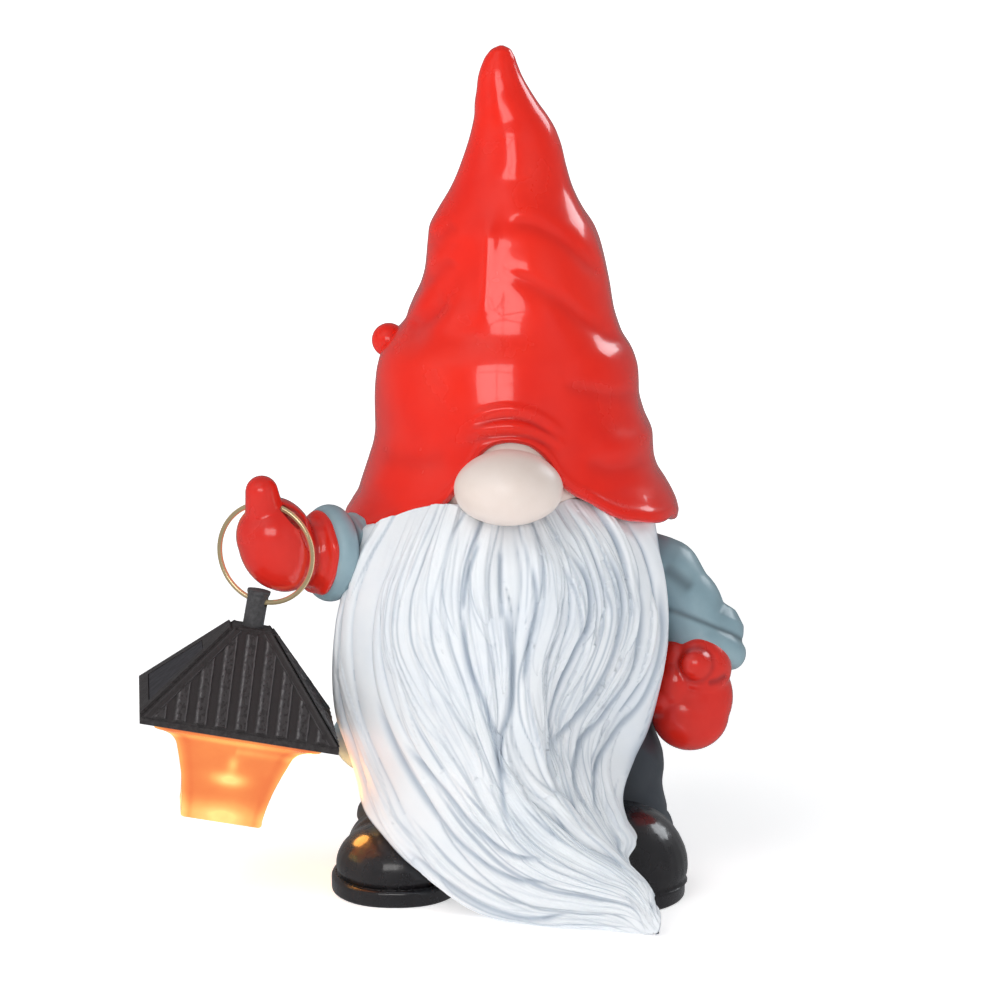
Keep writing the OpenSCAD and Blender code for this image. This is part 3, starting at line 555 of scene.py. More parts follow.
def led_mat():
    m, nt, b = new_mat("led_lit")
    b.inputs["Base Color"].default_value = (1.0, 0.85, 0.5, 1)
    b.inputs["Roughness"].default_value = 0.2
    b.inputs["Transmission Weight"].default_value = 0.3
    tc = nd(nt, "ShaderNodeTexCoord")
    n = nd(nt, "ShaderNodeTexNoise", inputs={"Scale": 400.0})
    nt.links.new(tc.outputs["Object"], n.inputs["Vector"])
    r = ramp(nt, [(0.3, (1.0, 0.62, 0.25)), (0.7, (1.0, 0.85, 0.5))])
    nt.links.new(n.outputs["Fac"], r.inputs["Fac"])
    nt.links.new(r.outputs["Color"], b.inputs["Emission Color"])
    b.inputs["Emission Strength"].default_value = 3.0
    return m


M_LED = led_mat()

# ------------------------------------------------------------------ hat

HAT = [[95, -46.6, 53.2, 47.2], [109, -46.9, 53.4, 47], [113, -45.2, 53.2, 46.5], [116.4, -43.2, 51.8, 45.6],
       [120, -42, 49.8, 44.6], [124, -40.6, 47.4, 43.4], [127.5, -39.4, 46.4, 42.4], [131, -38.3, 46.1, 41.5],
       [135, -37.6, 45.8, 40.8], [140, -37.5, 43.6, 40], [145.9, -37.5, 41.9, 38.8], [150, -37.3, 41.6, 37.8],
       [155, -36.6, 41, 36.6], [160.5, -34.6, 39, 35.2], [164, -32, 36.8, 33.8], [168, -28.6, 35.2, 31.9],
       [171.4, -27.4, 34.1, 30.8], [175, -26, 33.4, 29.8], [179, -24.2, 32.8, 28.6], [183, -23, 32, 27.5],
       [188, -22.2, 30.8, 26.2], [193, -21.6, 29.2, 24.7], [197, -21, 27.4, 23.2], [201, -19, 24.9, 21.2],
       [207.5, -15.4, 21.7, 18], [214.7, -12, 19.5, 15.2], [221.8, -9.4, 17.7, 13], [226, -8.4, 16, 11.8],
       [229.5, -7.8, 13.8, 10.6], [233, -7.7, 11.2, 9.3], [237, -7.1, 8.6, 7.8], [241, -6.6, 6.4, 6.5],
       [244.5, -5.5, 5.0, 5.2], [247.5, -3.9, 3.8, 3.7], [249.3, -2.0, 2.4, 2.1], [250, -0.35, 0.9, 0.6]]
RIM = [[-180, 107], [-150, 107.4], [-110, 108.5], [-90, 109], [-76, 109.6], [-68, 109.8], [-61, 109.4], [-55, 111.2],
       [-48, 114.4], [-41, 116.4], [-32, 118.9], [-27, 121.2], [-22.7, 125.5], [-18, 131.7],
       [-14, 135.7], [-10, 137.9], [-3, 139.5], [3, 139.4], [8, 138.2], [12.6, 135], [16, 131.5],
       [18.8, 128.2], [23, 125.2], [31, 121.3], [37, 117.9], [43, 115.6], [50, 114.2], [65, 112.0],
       [75, 111.8], [82, 110.2], [90, 109], [110, 108], [150, 107.2], [180, 107]]

# folds seen from the front: line, height (mm) of the swelling above it, depth of the crease, widths
FOLDS = [
    ([(505, 226), (525, 224), (552, 235), (580, 256), (606, 280)], 0.95, 0.75, 30, 9),
    ([(500, 272), (530, 284), (560, 302), (588, 324), (610, 338), (630, 350)], 0.95, 0.75, 32, 10),
    ([(560, 384), (590, 392), (616, 396), (642, 393)], 0.6, 0.5, 26, 9),
    ([(424, 246), (434, 240), (446, 230), (456, 222)], 0.7, 0.7, 16, 8),
    ([(422, 284), (430, 279), (442, 268), (452, 258)], 0.9, 0.8, 16, 8),
    ([(404, 324), (418, 322), (434, 312), (448, 298)], 0.9, 0.8, 18, 9),
    ([(375, 450), (400, 460), (428, 462), (450, 456)], 0.5, 0.4, 26, 12),
    ([(585, 462), (612, 470), (634, 466), (652, 456)], 0.6, 0.5, 24, 11),
]
# plain ridges (positive) and valleys (negative): line, height in mm, half width
RIDGES = [
    ([(490, 205), (488, 235), (486, 265), (484, 300), (478, 330)], 1.0, 10),
    ([(474, 232), (456, 268), (436, 300), (412, 338), (398, 372)], -1.5, 15),
    ([(452, 240), (440, 268), (424, 300), (410, 322)], 0.8, 9),
    ([(520, 290), (548, 318), (585, 352), (620, 374)], 0.5, 16),
    ([(505, 120), (512, 150), (520, 180)], 0.5, 14),
    ([(395, 440), (385, 470), (372, 500)], 0.5, 12),
    ([(598, 420), (622, 456), (650, 492)], 0.6, 14),
]
WRINKLES = [
    ([(458, 440), (474, 431), (494, 427), (514, 426), (534, 429), (552, 437), (570, 450)], 0.8, 5.0),
    ([(462, 424), (484, 413), (504, 409), (526, 411), (548, 421), (568, 437)], 0.7, 5.0),
]


def hat_height(P, N, front):
    """How far each point of the hat is pushed out (mm), and how much painted shade it gets in the creases."""
    px, py = front_view(P)
    h = np.zeros(px.shape)
    cr = np.zeros(px.shape)
    f = smooth01((front - 0.02) / 0.35)
    for pts, up, down, wu, wd in FOLDS:
        d, t = line_dist(px, py, curve2(pts))
        end = smooth01(np.minimum(t, 1 - t) * 5 + 0.1)
        above = d < 0  # the line runs left to right, so above it is negative
        hh = np.where(above, up * np.exp(-((-d - wd * 0.9) / wu) ** 2) * (1 - np.exp(-(d / (wd * 0.7)) ** 2)), 0)
        dd = down * np.exp(-(d / wd) ** 2)
        h += 0.62 * f * end * (hh - dd)
        # painted shade along each fold's crease
        cr = np.maximum(cr, f * end * np.exp(-(d / (wd * 0.8)) ** 2) * 0.22)
    for pts, a, w in RIDGES:
        d, t = line_dist(px, py, curve2(pts))
        end = smooth01(np.minimum(t, 1 - t) * 3.5)
        h += f * end * a * np.exp(-(d / w) ** 2)
    for pts, a, w in WRINKLES:
        d, t = line_dist(px, py, curve2(pts))
        end = smooth01(np.minimum(t, 1 - t) * 4)
        h += f * end * (a * np.exp(-(d / w) ** 2) - 0.8 * a * np.exp(-((d - 1.9 * w) / (0.8 * w)) ** 2))
        # painted shade in the groove under each wrinkle
        cr = np.maximum(cr, f * end * np.exp(-((d - 1.9 * w) / (0.5 * w)) ** 2) * 0.5)
    return h, cr


def build_hat():
    nt_, nz = 420, 330
    th = np.linspace(0, 360, nt_, endpoint=False)          # 0 is the front
    tt = np.where(th > 180, th - 360, th)
    zr = tab(RIM, tt, 1)
    # denser towards the rim and the tip
    f = np.linspace(0, 1, nz)
    f = 0.75 * f + 0.25 * (0.5 - 0.5 * np.cos(np.pi * f))
    F, T = np.meshgrid(f, th, indexing="ij")
    ZR = np.broadcast_to(zr, F.shape)
    Z = ZR + (250 - ZR) * F

    def shell(Z, T, off):
        xl, xr, d = tab(HAT, Z, 1), tab(HAT, Z, 2), tab(HAT, Z, 3)
        cx, hw = (xl + xr) / 2, (xr - xl) / 2
        s, c = np.sin(np.radians(T)), np.cos(np.radians(T))
        # the back and sides carry their own soft folds, running down and round
        k = smooth01((248 - Z) / 60) * smooth01((Z - 112) / 20)
        back = smooth01((-c + 0.25) / 0.6)
        w1 = np.sin(np.radians(3.3 * (Z - 107) + 2.2 * T)) * 1.1 + np.sin(np.radians(5.1 * (Z - 107) - 1.0 * T + 60)) * 0.8
        w2 = 1.3 * noise(T / 40.0 + 3, Z / 22.0, 1.5)
        bump = back * k * (w1 + w2) * 0.9
        # flare of the brim's lower edge
        low = np.exp(-np.maximum(Z - np.broadcast_to(tab(RIM, np.where(T > 180, T - 360, T), 1), Z.shape), 0) / 5.0)
        fl = 0.6 * low * (1 - 0.4 * np.clip(c, 0, 1))
        # a slight lean of the cone to the back between brim and tip
        yc = 2.0 + 2.5 * np.sin(np.pi * np.clip((Z - 110) / 140, 0, 1))
        R = np.stack([cx + np.maximum(hw - off + bump * np.abs(s) * 0 , 0.3) * s,
                      yc - np.maximum(d - off + fl, 0.3) * c, Z], -1)
        nrm = np.stack([s, -c, 0 * s], -1)
        return R + nrm * (bump * np.clip(-c + 0.2, 0, 1))[..., None] * (off == 0), c

    P, C = shell(Z, T, 0.0)
    # outward normals by differences
    du = np.roll(P, -1, 1) - np.roll(P, 1, 1)
    dv = np.gradient(P, axis=0)
    N = np.cross(du, dv)
    N /= np.linalg.norm(N, axis=-1, keepdims=True) + 1e-9
    h, cr = hat_height(P, N, -N[..., 1])
    # gentle unevenness everywhere
    h = h + 0.35 * noise(P[..., 0] / 13, P[..., 1] / 13, P[..., 2] / 13) * smooth01((248 - Z) / 20)
    # a soft rolled swelling just above the edge
    up = Z - ZR
    h = h + 0.30 * np.exp(-((up - 1.6) / 1.4) ** 2)
    P = P + N * h[..., None]
    # round lip turning in under the hat, then the inside wall
    lip = []
    base, nb = P[0], N[0]
    flat = nb.copy()
    flat[:, 2] = 0
    flat /= np.linalg.norm(flat, axis=1, keepdims=True)
    rl = 1.9
    for a in np.linspace(0, 180, 13)[1:]:
        ar = math.radians(a)
        lip.append(base - flat * rl * (1 - math.cos(ar)) - np.array([0, 0, 1.0]) * rl * 0.8 * math.sin(ar))
    for k in range(1, 9):
        z2 = zr + 22.0 * k / 8
        q, _ = shell(z2[None, :], th[None, :], 3.9)
        lip.append(q[0])
    rings = lip[::-1] + [P[i] for i in range(nz)]
    V = np.concatenate(rings)
    faces = grid_faces(len(rings), nt_)
    faces.append(list(range((len(rings) - 1) * nt_, len(rings) * nt_)))
    ob = add_mesh("hat_cloth", V, faces, "figure", ["hat"], mat=M_HAT)
    # painted shade: flat on the lip and inside wall, along the folds and wrinkles elsewhere
    crs = np.concatenate([np.full(nt_ * len(lip), 0.25), cr.ravel()])
    add_attr(ob, "crease", crs)
    return ob


build_hat()
# the round bump of cloth on the hat's left, melted into a short tuft
bump = blob("hat_bump", [ellipsoid((-33.6, 8.5, 161.2), (5.2, 5.4, 5.2)), ellipsoid((-28.4, 9.5, 159.5), (5.5, 6.0, 5.6)),
                         ellipsoid((-25, 9, 155), (5, 7, 7))],
            0.35, 6, "figure", (), M_HAT)
add_attr(bump, "crease", np.zeros(len(bump.data.vertices)))

# ------------------------------------------------------------------ head and nose

hv, hf = ellipsoid((3.2, 0.4, 133), (35.6, 36.8, 24), n=96, m=64)
hv[:, 2] = np.maximum(hv[:, 2], 118)
head_ob = add_mesh("head_skin", hv, hf, "figure", ["head"], mat=M_SKIN)
cpx, cpy = front_view(hv)
# the head skin gets a flat painted shade all over, darker than the nose, where it lies under the hat
add_attr(head_ob, "crease", 0.15 + 0 * cpx)


def build_nose():
    n, m = 128, 80
    v = []
    for j in range(m + 1):
        ph = math.radians(-90 + 180 * j / m)
        for i in range(n):
            th = 2 * math.pi * i / n
            # axis points at the viewer
            x, zz, yy = math.cos(ph) * math.cos(th), math.cos(ph) * math.sin(th), math.sin(ph)
            v.append([x, yy, zz])
    v = np.array(v)
    # slightly fuller below, flatter on top
    wide = 1 + 0.035 * (-v[:, 2]) - 0.03 * v[:, 2] ** 2
    P = np.stack([2.3 + 15.8 * wide * v[:, 0], -44.6 - 13.4 * v[:, 1], 126.7 + 11.0 * v[:, 2] * (1 + 0.02 * v[:, 2])], -1)
    P += 0.12 * noise(P[:, 0] / 5, P[:, 1] / 5, P[:, 2] / 5)[:, None] * v
    f = grid_faces(m + 1, n, flip=True)
    f.append(list(range(n)))
    f.append(list(range(m * n, (m + 1) * n))[::-1])
    ob = add_mesh("nose_skin", P, f, "figure", ["nose"], mat=M_SKIN)
    # painted shade on the underside of the nose
    add_attr(ob, "crease", np.clip(-v[:, 2] - 0.55, 0, 1) * 0.5)
    return ob


build_nose()
cheek = blob("cheek_skin", [ellipsoid((2.2, -29.0, 122.0), (21.0, 9.0, 6.6)), ellipsoid((2.2, -34.5, 124.0), (16.0, 6.0, 6.0))],
             0.4, 8, "figure", (), M_SKIN)
add_attr(cheek, "crease", np.zeros(len(cheek.data.vertices)))

# ------------------------------------------------------------------ beard

GUIDES = [
    [(359, 530), (345, 572), (335, 620), (331, 660), (331, 690), (335, 720), (345, 750), (354, 780), (363, 815), (380, 838), (402, 863), (440, 890), (480, 915), (540, 927), (600, 932), (650, 938)],
    [(378, 522), (362, 560), (351, 600), (347, 640), (349, 680), (357, 720), (369, 755), (384, 790), (399, 822), (420, 848), (450, 880), (490, 905), (540, 917), (600, 922), (652, 933)],
    [(402, 512), (383, 560), (369, 600), (365, 650), (371, 700), (384, 740), (402, 775), (425, 815), (450, 850), (490, 885), (530, 903), (580, 910), (630, 918), (656, 931)],
    [(424, 506), (404, 560), (392, 600), (389, 640), (398, 680), (412, 720), (430, 752), (455, 790), (485, 830), (515, 860), (550, 880), (600, 893), (635, 905), (658, 928)],
    [(446, 504), (430, 560), (420, 600), (421, 640), (438, 680), (459, 720), (479, 760), (496, 800), (520, 838), (550, 862), (590, 878), (625, 892), (648, 908), (660, 926)],
    [(462, 510), (450, 560), (445, 600), (450, 640), (466, 690), (481, 735), (494, 770), (512, 805), (540, 838), (575, 862), (605, 876), (630, 888), (649, 905), (660, 925)],
    [(478, 520), (466, 565), (463, 610), (469, 650), (482, 700), (494, 740), (507, 772), (530, 806), (560, 838), (590, 858), (612, 870), (633, 885), (650, 903), (660, 924)],
    [(500, 524), (497, 580), (500, 620), (504, 660), (504, 700), (501, 740), (506, 766), (521, 792), (548, 815), (578, 842), (600, 858), (617, 869), (635, 884), (651, 902), (661, 924)],
    [(524, 524), (534, 565), (533, 600), (528, 630), (522, 665), (523, 700), (529, 740), (540, 775), (560, 805), (585, 835), (605, 852), (620, 866), (636, 882), (652, 901), (661, 924)],
    [(542, 516), (560, 555), (573, 595), (574, 622), (563, 652), (549, 690), (544, 720), (547, 755), (558, 790), (572, 820), (590, 842), (608, 856), (622, 868), (637, 882), (652, 901), (661, 924)],
    [(556, 506), (577, 545), (591, 585), (594, 615), (587, 645), (571, 680), (557, 715), (555, 750), (564, 785), (580, 818), (598, 842), (613, 858), (624, 870), (638, 884), (652, 901), (661, 924)],
    [(574, 498), (600, 540), (613, 580), (616, 612), (608, 648), (590, 688), (572, 720), (566, 750), (571, 785), (586, 815), (603, 842), (616, 859), (625, 872), (638, 885), (653, 902), (661, 924)],
    [(598, 504), (622, 545), (634, 588), (635, 620), (625, 658), (604, 695), (583, 725), (577, 755), (583, 790), (597, 820), (612, 844), (619, 858), (627, 873), (639, 886), (653, 902), (661, 924)],
    [(618, 510), (642, 552), (652, 600), (650, 640), (636, 680), (614, 712), (597, 742), (592, 770), (598, 800), (610, 825), (622, 845), (622, 858), (629, 873), (640, 887), (654, 903), (661, 924)],
    [(638, 514), (656, 556), (663, 605), (660, 650), (648, 690), (630, 720), (613, 747), (606, 775), (611, 803), (621, 826), (631, 844), (625, 858), (631, 873), (642, 889), (655, 904), (661, 925)],
    [(656, 518), (665, 572), (670, 620), (668, 655), (660, 695), (648, 735), (636, 760), (628, 782), (624, 800), (628, 820), (638, 840), (634, 850), (626, 858), (633, 876), (645, 895), (656, 912), (661, 927)],
]
Y_L = [[0, -24], [.1, -28], [.26, -29.5], [.36, -30], [.42, -34], [.47, -40], [.52, -45], [.58, -50], [.65, -53.5], [.73, -57], [.82, -63], [.91, -68], [1, -72]]
Y_R = [[0, -20], [.23, -24], [.33, -26], [.5, -30], [.6, -36], [.66, -42], [.72, -47], [.76, -51], [.8, -54.5], [.84, -58], [.9, -62.5], [.95, -67], [1, -71.7]]
BULGE = [[0, 21], [.05, 23.5], [.15, 26], [.3, 28], [.45, 27], [.55, 22], [.62, 18], [.7, 14], [.78, 10], [.85, 7], [.92, 4], [1, 1]]


def end_round(k, n, g):
    """Finish one guide on the rounded tip of the beard."""
    g = list(g)
    while g[-1][0] > 641:
        g.pop()
    a = math.radians(100 - 190 * k / (n - 1))
    return g + [(651.0 + 10.0 * math.cos(a), 922.0 + 16.0 * math.sin(a))]


GUIDES = [end_round(k, len(GUIDES), g) for k, g in enumerate(GUIDES)]


def build_beard():
    nv, ns = 520, 400
    v = np.linspace(0, 1, nv)
    K = len(GUIDES)
    G = np.stack([resample(np.asarray(g, float),
                           np.concatenate([[0], np.cumsum(np.linalg.norm(np.diff(np.asarray(g, float), axis=0), axis=1))])
                           / np.linalg.norm(np.diff(np.asarray(g, float), axis=0), axis=1).sum(), v) for g in GUIDES])  # K, nv, 2
    row = int(0.3 * nv)
    sx = G[:, row, 0]
    sk = (sx - sx[0]) / (sx[-1] - sx[0])
    s = np.linspace(0, 1, ns)
    s = 0.5 - 0.5 * np.cos(np.pi * s) * 0.35 - 0.65 * (0.5 - s) + (0.35 * 0.0)
    s = (s - s[0]) / (s[-1] - s[0])
    XY = resample(G, sk, s)                                  # ns, nv, 2
    S, V = np.meshgrid(s, v, indexing="ij")
    edge = np.sin(np.pi * S)
    y = tab(Y_L, V, 1) * (1 - S) + tab(Y_R, V, 1) * S - tab(BULGE, V, 1) * np.clip(edge, 0, 1) ** 0.75
    P = from_front(XY[..., 0], XY[..., 1], y)
    P[..., 2] = np.maximum(P[..., 2], 0.9)
    ds = np.gradient(P, axis=0) / np.gradient(s)[:, None, None]
    dv = np.gradient(P, axis=1)
    N = np.cross(dv, ds)
    N /= np.linalg.norm(N, axis=-1, keepdims=True) + 1e-9
    if N[ns // 2, nv // 3, 1] > 0:
        N = -N
    M = np.linalg.norm(ds, axis=-1)                          # mm per unit s
    rng = np.random.RandomState(21)
    # main locks: uneven widths, a crease between neighbours
    cuts = [0.0]
    while cuts[-1] < 1:
        c = cuts[-1]
        base_w = 0.046 if c < 0.35 else (0.040 if c < 0.6 else 0.036)
        cuts.append(c + base_w * (0.65 + 0.8 * rng.rand()))
    cuts = np.array(cuts)
    cuts = cuts / cuts[-1]
    warp = S + 0.010 * noise(S * 7, V * 3.2, 0.3) + 0.006 * noise(S * 15, V * 7, 4.2)
    idx = np.clip(np.searchsorted(cuts, np.clip(warp, 0, 0.99999), side="right") - 1, 0, len(cuts) - 2)
    lo, hi = cuts[idx], cuts[idx + 1]
    q = (warp - lo) / (hi - lo)                              # 0..1 inside a lock
    wid = (hi - lo) * M                                      # lock width, mm
    depth = 0.55 + 0.55 * rng.rand(len(cuts))
    right = smooth01((S - 0.45) / 0.3)
    amp = (1.15 + 0.75 * right) * depth[idx] * (0.75 + 0.35 * noise(idx * 1.7, V * 3.0, 2.0))
    prof = 1 - np.abs(2 * q - 1) ** 3.2
    tail = smooth01((V - 0.66) / 0.14)
    thin = np.clip(wid / 2.6, 0, 1)
    start = smooth01(V * 9 + 0.15)
    H = amp * prof * thin * (1 - 0.8 * tail) * start
    # painted shade in the creases between locks
    LOCK_SHADE = (1 - prof) ** 3 * np.clip(amp * thin, 0, 1.2) * (1 - 0.8 * tail) * start * (0.80 + 0.20 * right)
    L0 = np.zeros_like(H)

    def lay(sc, v0, v1, hw, top, edge_shade, bend=0.0, phase=0.0, fine=3):
        """One tapered lock lying on the rest: centre sc(v), from v0 to v1, half width hw (mm)."""
        nonlocal H, LOCK_SHADE
        j0, j1 = max(0, int(v0 * (nv - 1))), min(nv, int(v1 * (nv - 1)) + 2)
        if j1 - j0 < 6:
            return
        vv = V[:, j0:j1]
        t = (vv - v0) / (v1 - v0)
        w = hw * np.clip(1 - np.abs(2 * t - 0.9) ** 3.0, 0, 1) ** 0.7 + 0.05
        c = sc + bend * np.sin(np.pi * t + phase)
        d = (S[:, j0:j1] - c) * M[:, j0:j1] / w
        inside = np.abs(d) < 1
        body = np.clip(1 - np.abs(d) ** 2.4, 0, 1)
        lift = top * np.clip(t * 5, 0, 1) * np.clip((1 - t) * 3.2, 0, 1) ** 0.6
        groove = 0.10 * np.cos(d * math.pi * fine + phase) * (np.abs(d) < 0.85)
        hh = (lift * (0.35 + 0.65 * body) + groove * lift) * inside
        old = H[:, j0:j1]
        new = np.where(inside & (hh > 0.02), np.maximum(old * (1 - 0.55 * body), 0) + hh, old)
        H[:, j0:j1] = new
        # painted shade in a ring round the lock's edge, where it lies on the locks below
        ring = np.exp(-((np.abs(d) - 1.0) / 0.15) ** 2) * np.clip(lift / 1.2, 0, 1) * edge_shade
        LOCK_SHADE[:, j0:j1] = np.maximum(LOCK_SHADE[:, j0:j1] * (1 - 0.6 * inside * body), ring)

    # secondary locks, laid in rows from the bottom up so that upper ones overlap lower ones
    spec = []
    for k in range(120):
        sc = rng.rand()
        v0 = rng.uniform(-0.1, 0.72)
        ln = rng.uniform(0.22, 0.5)
        hw = rng.uniform(1.3, 3.1) if sc > 0.4 else rng.uniform(1.6, 3.4)
        top = rng.uniform(0.8, 1.5) * (0.85 + 0.55 * (sc > 0.45))
        spec.append((sc, v0, min(1.0, v0 + ln), hw, top, rng.uniform(0.35, 0.8), rng.uniform(-0.022, 0.022), rng.uniform(0, 6.28)))
    spec.sort(key=lambda r: -r[1])
    for r in spec:
        lay(r[0], r[1], r[2], r[3], r[4], r[5], r[6], r[7], fine=2)
    # broad locks that gather into the tail
    for k, (sc, v0, v1, hw, top) in enumerate([
            (0.03, 0.58, 0.985, 2.6, 1.3), (0.075, 0.52, 0.99, 3.0, 1.5), (0.13, 0.50, 0.99, 3.2, 1.6),
            (0.19, 0.50, 0.99, 3.0, 1.5), (0.25, 0.54, 0.985, 2.8, 1.4), (0.31, 0.56, 0.98, 2.6, 1.4),
            (0.38, 0.58, 0.98, 2.4, 1.3), (0.46, 0.60, 0.975, 2.4, 1.3), (0.55, 0.62, 0.97, 2.2, 1.2),
            (0.66, 0.60, 0.93, 2.2, 1.3), (0.78, 0.56, 0.90, 2.2, 1.4), (0.88, 0.54, 0.86, 2.2, 1.3),
            (0.95, 0.50, 0.84, 2.0, 1.2)]):
        lay(sc, v0, v1, hw, top, 0.7, 0.006 * ((-1) ** k), 0.7 * k, fine=4)
    # the deep creases that the sculpt shows, darkened with painted shade
    for pts, dep, w in [
            ([(560, 545), (584, 580), (587, 620), (570, 660), (552, 700), (546, 735), (552, 775)], 1.3, 3.0),
            ([(600, 540), (618, 590), (615, 640), (592, 690), (566, 722), (551, 742), (553, 765)], 1.2, 3.0),
            ([(628, 560), (640, 610), (632, 665), (600, 712), (576, 742), (570, 775), (578, 815)], 1.2, 3.0),
            ([(656, 575), (660, 640), (640, 700), (610, 735), (594, 765), (592, 800), (604, 835)], 1.1, 2.8),
            ([(506, 600), (512, 660), (510, 710), (500, 745), (504, 775), (518, 795)], 1.2, 3.2),
            ([(462, 600), (468, 660), (490, 720), (500, 770), (506, 810), (520, 838)], 1.0, 3.0),
            ([(402, 740), (440, 785), (480, 830), (510, 852), (555, 858)], 1.2, 3.0),
            ([(372, 690), (396, 750), (430, 805), (470, 850), (510, 876), (570, 884)], 1.0, 3.0),
            ([(405, 845), (445, 878), (490, 906), (540, 917), (580, 908)], 1.0, 2.8),
            ([(480, 540), (468, 575), (462, 615)], 0.8, 2.6), ([(500, 545), (500, 585), (503, 625)], 0.8, 2.6),
            ([(530, 560), (536, 600), (528, 650), (522, 690)], 0.9, 2.6)]:
        d, t = line_dist(XY[..., 0], XY[..., 1], curve2(pts))
        e = smooth01(np.minimum(t, 1 - t) * 6)
        g = np.exp(-(d / w) ** 2) * e
        H -= dep * g
        LOCK_SHADE = np.maximum(LOCK_SHADE, 0.8 * g)
    # fine hair grooves
    patch = smooth01(0.5 + 1.4 * noise(S * 8, V * 5, 6.0))
    fine = np.sin(2 * np.pi * (S * 64 + 2.0 * noise(S * 9, V * 4, 1.0))) * 0.07 * patch
    H += fine * np.clip(M / 60, 0, 1) * start
    H *= smooth01(np.minimum(S, 1 - S) * 30 + 0.25)
    H = np.clip(H, -1.6, 2.8)
    LOCK_SHADE = np.clip(LOCK_SHADE, 0, 1)
    # push the skin out by the lock heights
    Q = P + N * (H - 0.5)[..., None]
    tipu = np.clip((V - 0.965) / 0.035, 0, 1)
    Q[..., 2] = np.maximum(Q[..., 2], 0.45)
    # roll the two long edges back, then close behind
    th = 10.5 * (1 - smooth01((V - 0.30) / 0.35)) + 4.6
    th = th * (1 - 0.55 * smooth01((V - 0.8) / 0.2))
    th = np.minimum(th, 15)
    edge_w = 3.2                                             # mm over which the edge rounds
    dist_l = np.cumsum(np.concatenate([np.zeros((1, nv)), np.linalg.norm(np.diff(P, axis=0), axis=-1)]), axis=0)
    dist_r = dist_l[-1:] - dist_l
    de = np.clip(np.minimum(dist_l, dist_r) / edge_w, 0, 1)
    Q[..., 1] += 2.2 * (1 - np.sqrt(np.clip(1 - (1 - de) ** 2, 0, 1)))
    # the tip closes too
    tipc = 1 - np.sqrt(np.clip(1 - tipu ** 2, 0, 1))
    Q[..., 1] += 0.5 * th * tipc
    Q[..., 2] = np.where(Q[..., 2] < 0.5, 0.5, Q[..., 2])
    cols = [0, 12, 26, 44, 66, 92, 120, 150, 180, 215, 250, 280, 308, 334, 356, 374, 388, 399]
    B = P[cols].copy()
    B[..., 1] += th[cols] + 0.3 - (0.5 * th[cols] + 0.2) * tipc[cols]
    inset = np.clip(1 - np.minimum(dist_l, dist_r)[cols] / 4.0, 0, 1)
    sgn = np.where(np.arange(len(cols)) < len(cols) / 2, 1.0, -1.0)[:, None]
    B[..., 0] += sgn * 1.6 * inset
    B[..., 2] = np.maximum(B[..., 2], 0.45)
    allc = np.concatenate([Q, B[::-1]], axis=0)              # closed loop of columns
    n = allc.shape[0]
    Vv = np.transpose(allc, (1, 0, 2)).reshape(-1, 3)        # rows by v
    faces = grid_faces(nv, n, flip=False)
    k2 = len(cols)
    faces.append(list(range(n))[::-1])
    faces.append([(nv - 1) * n + i for i in range(n)])
    ob = add_mesh("beard_locks", Vv, faces, "figure", ["beard"], mat=M_BEARD)
    # the hidden back and inside of the beard get a flat painted shade
    cr = np.concatenate([LOCK_SHADE, np.full((k2, nv), 0.6)], axis=0)
    add_attr(ob, "crease", np.transpose(cr).ravel())
    # make the skin face outwards
    bm = bmesh.new()
    bm.from_mesh(ob.data)
    bmesh.ops.recalc_face_normals(bm, faces=bm.faces)
    bm.to_mesh(ob.data)
    bm.free()
    return ob


build_beard()

# ------------------------------------------------------------------ coat

COAT = [[33.2, 0.3, 43.5, 34], [34.2, 0.2, 47, 37.4], [36, 0.1, 49.2, 39.2], [39, 0, 50.2, 40], [42.5, 0.2, 49.2, 39.8], [46, 0.6, 47.2, 38.8],
        [50, 0.8, 46.5, 38.2], [56, 0.8, 46.6, 38], [68, 1, 46, 37.6], [78, 1, 44.6, 36.6], [86, 1, 43, 35.2],
        [95, 1, 41.2, 33.6], [104, 1, 38.6, 31.6], [112, 1, 34, 28.6], [117, 1, 28, 24]]


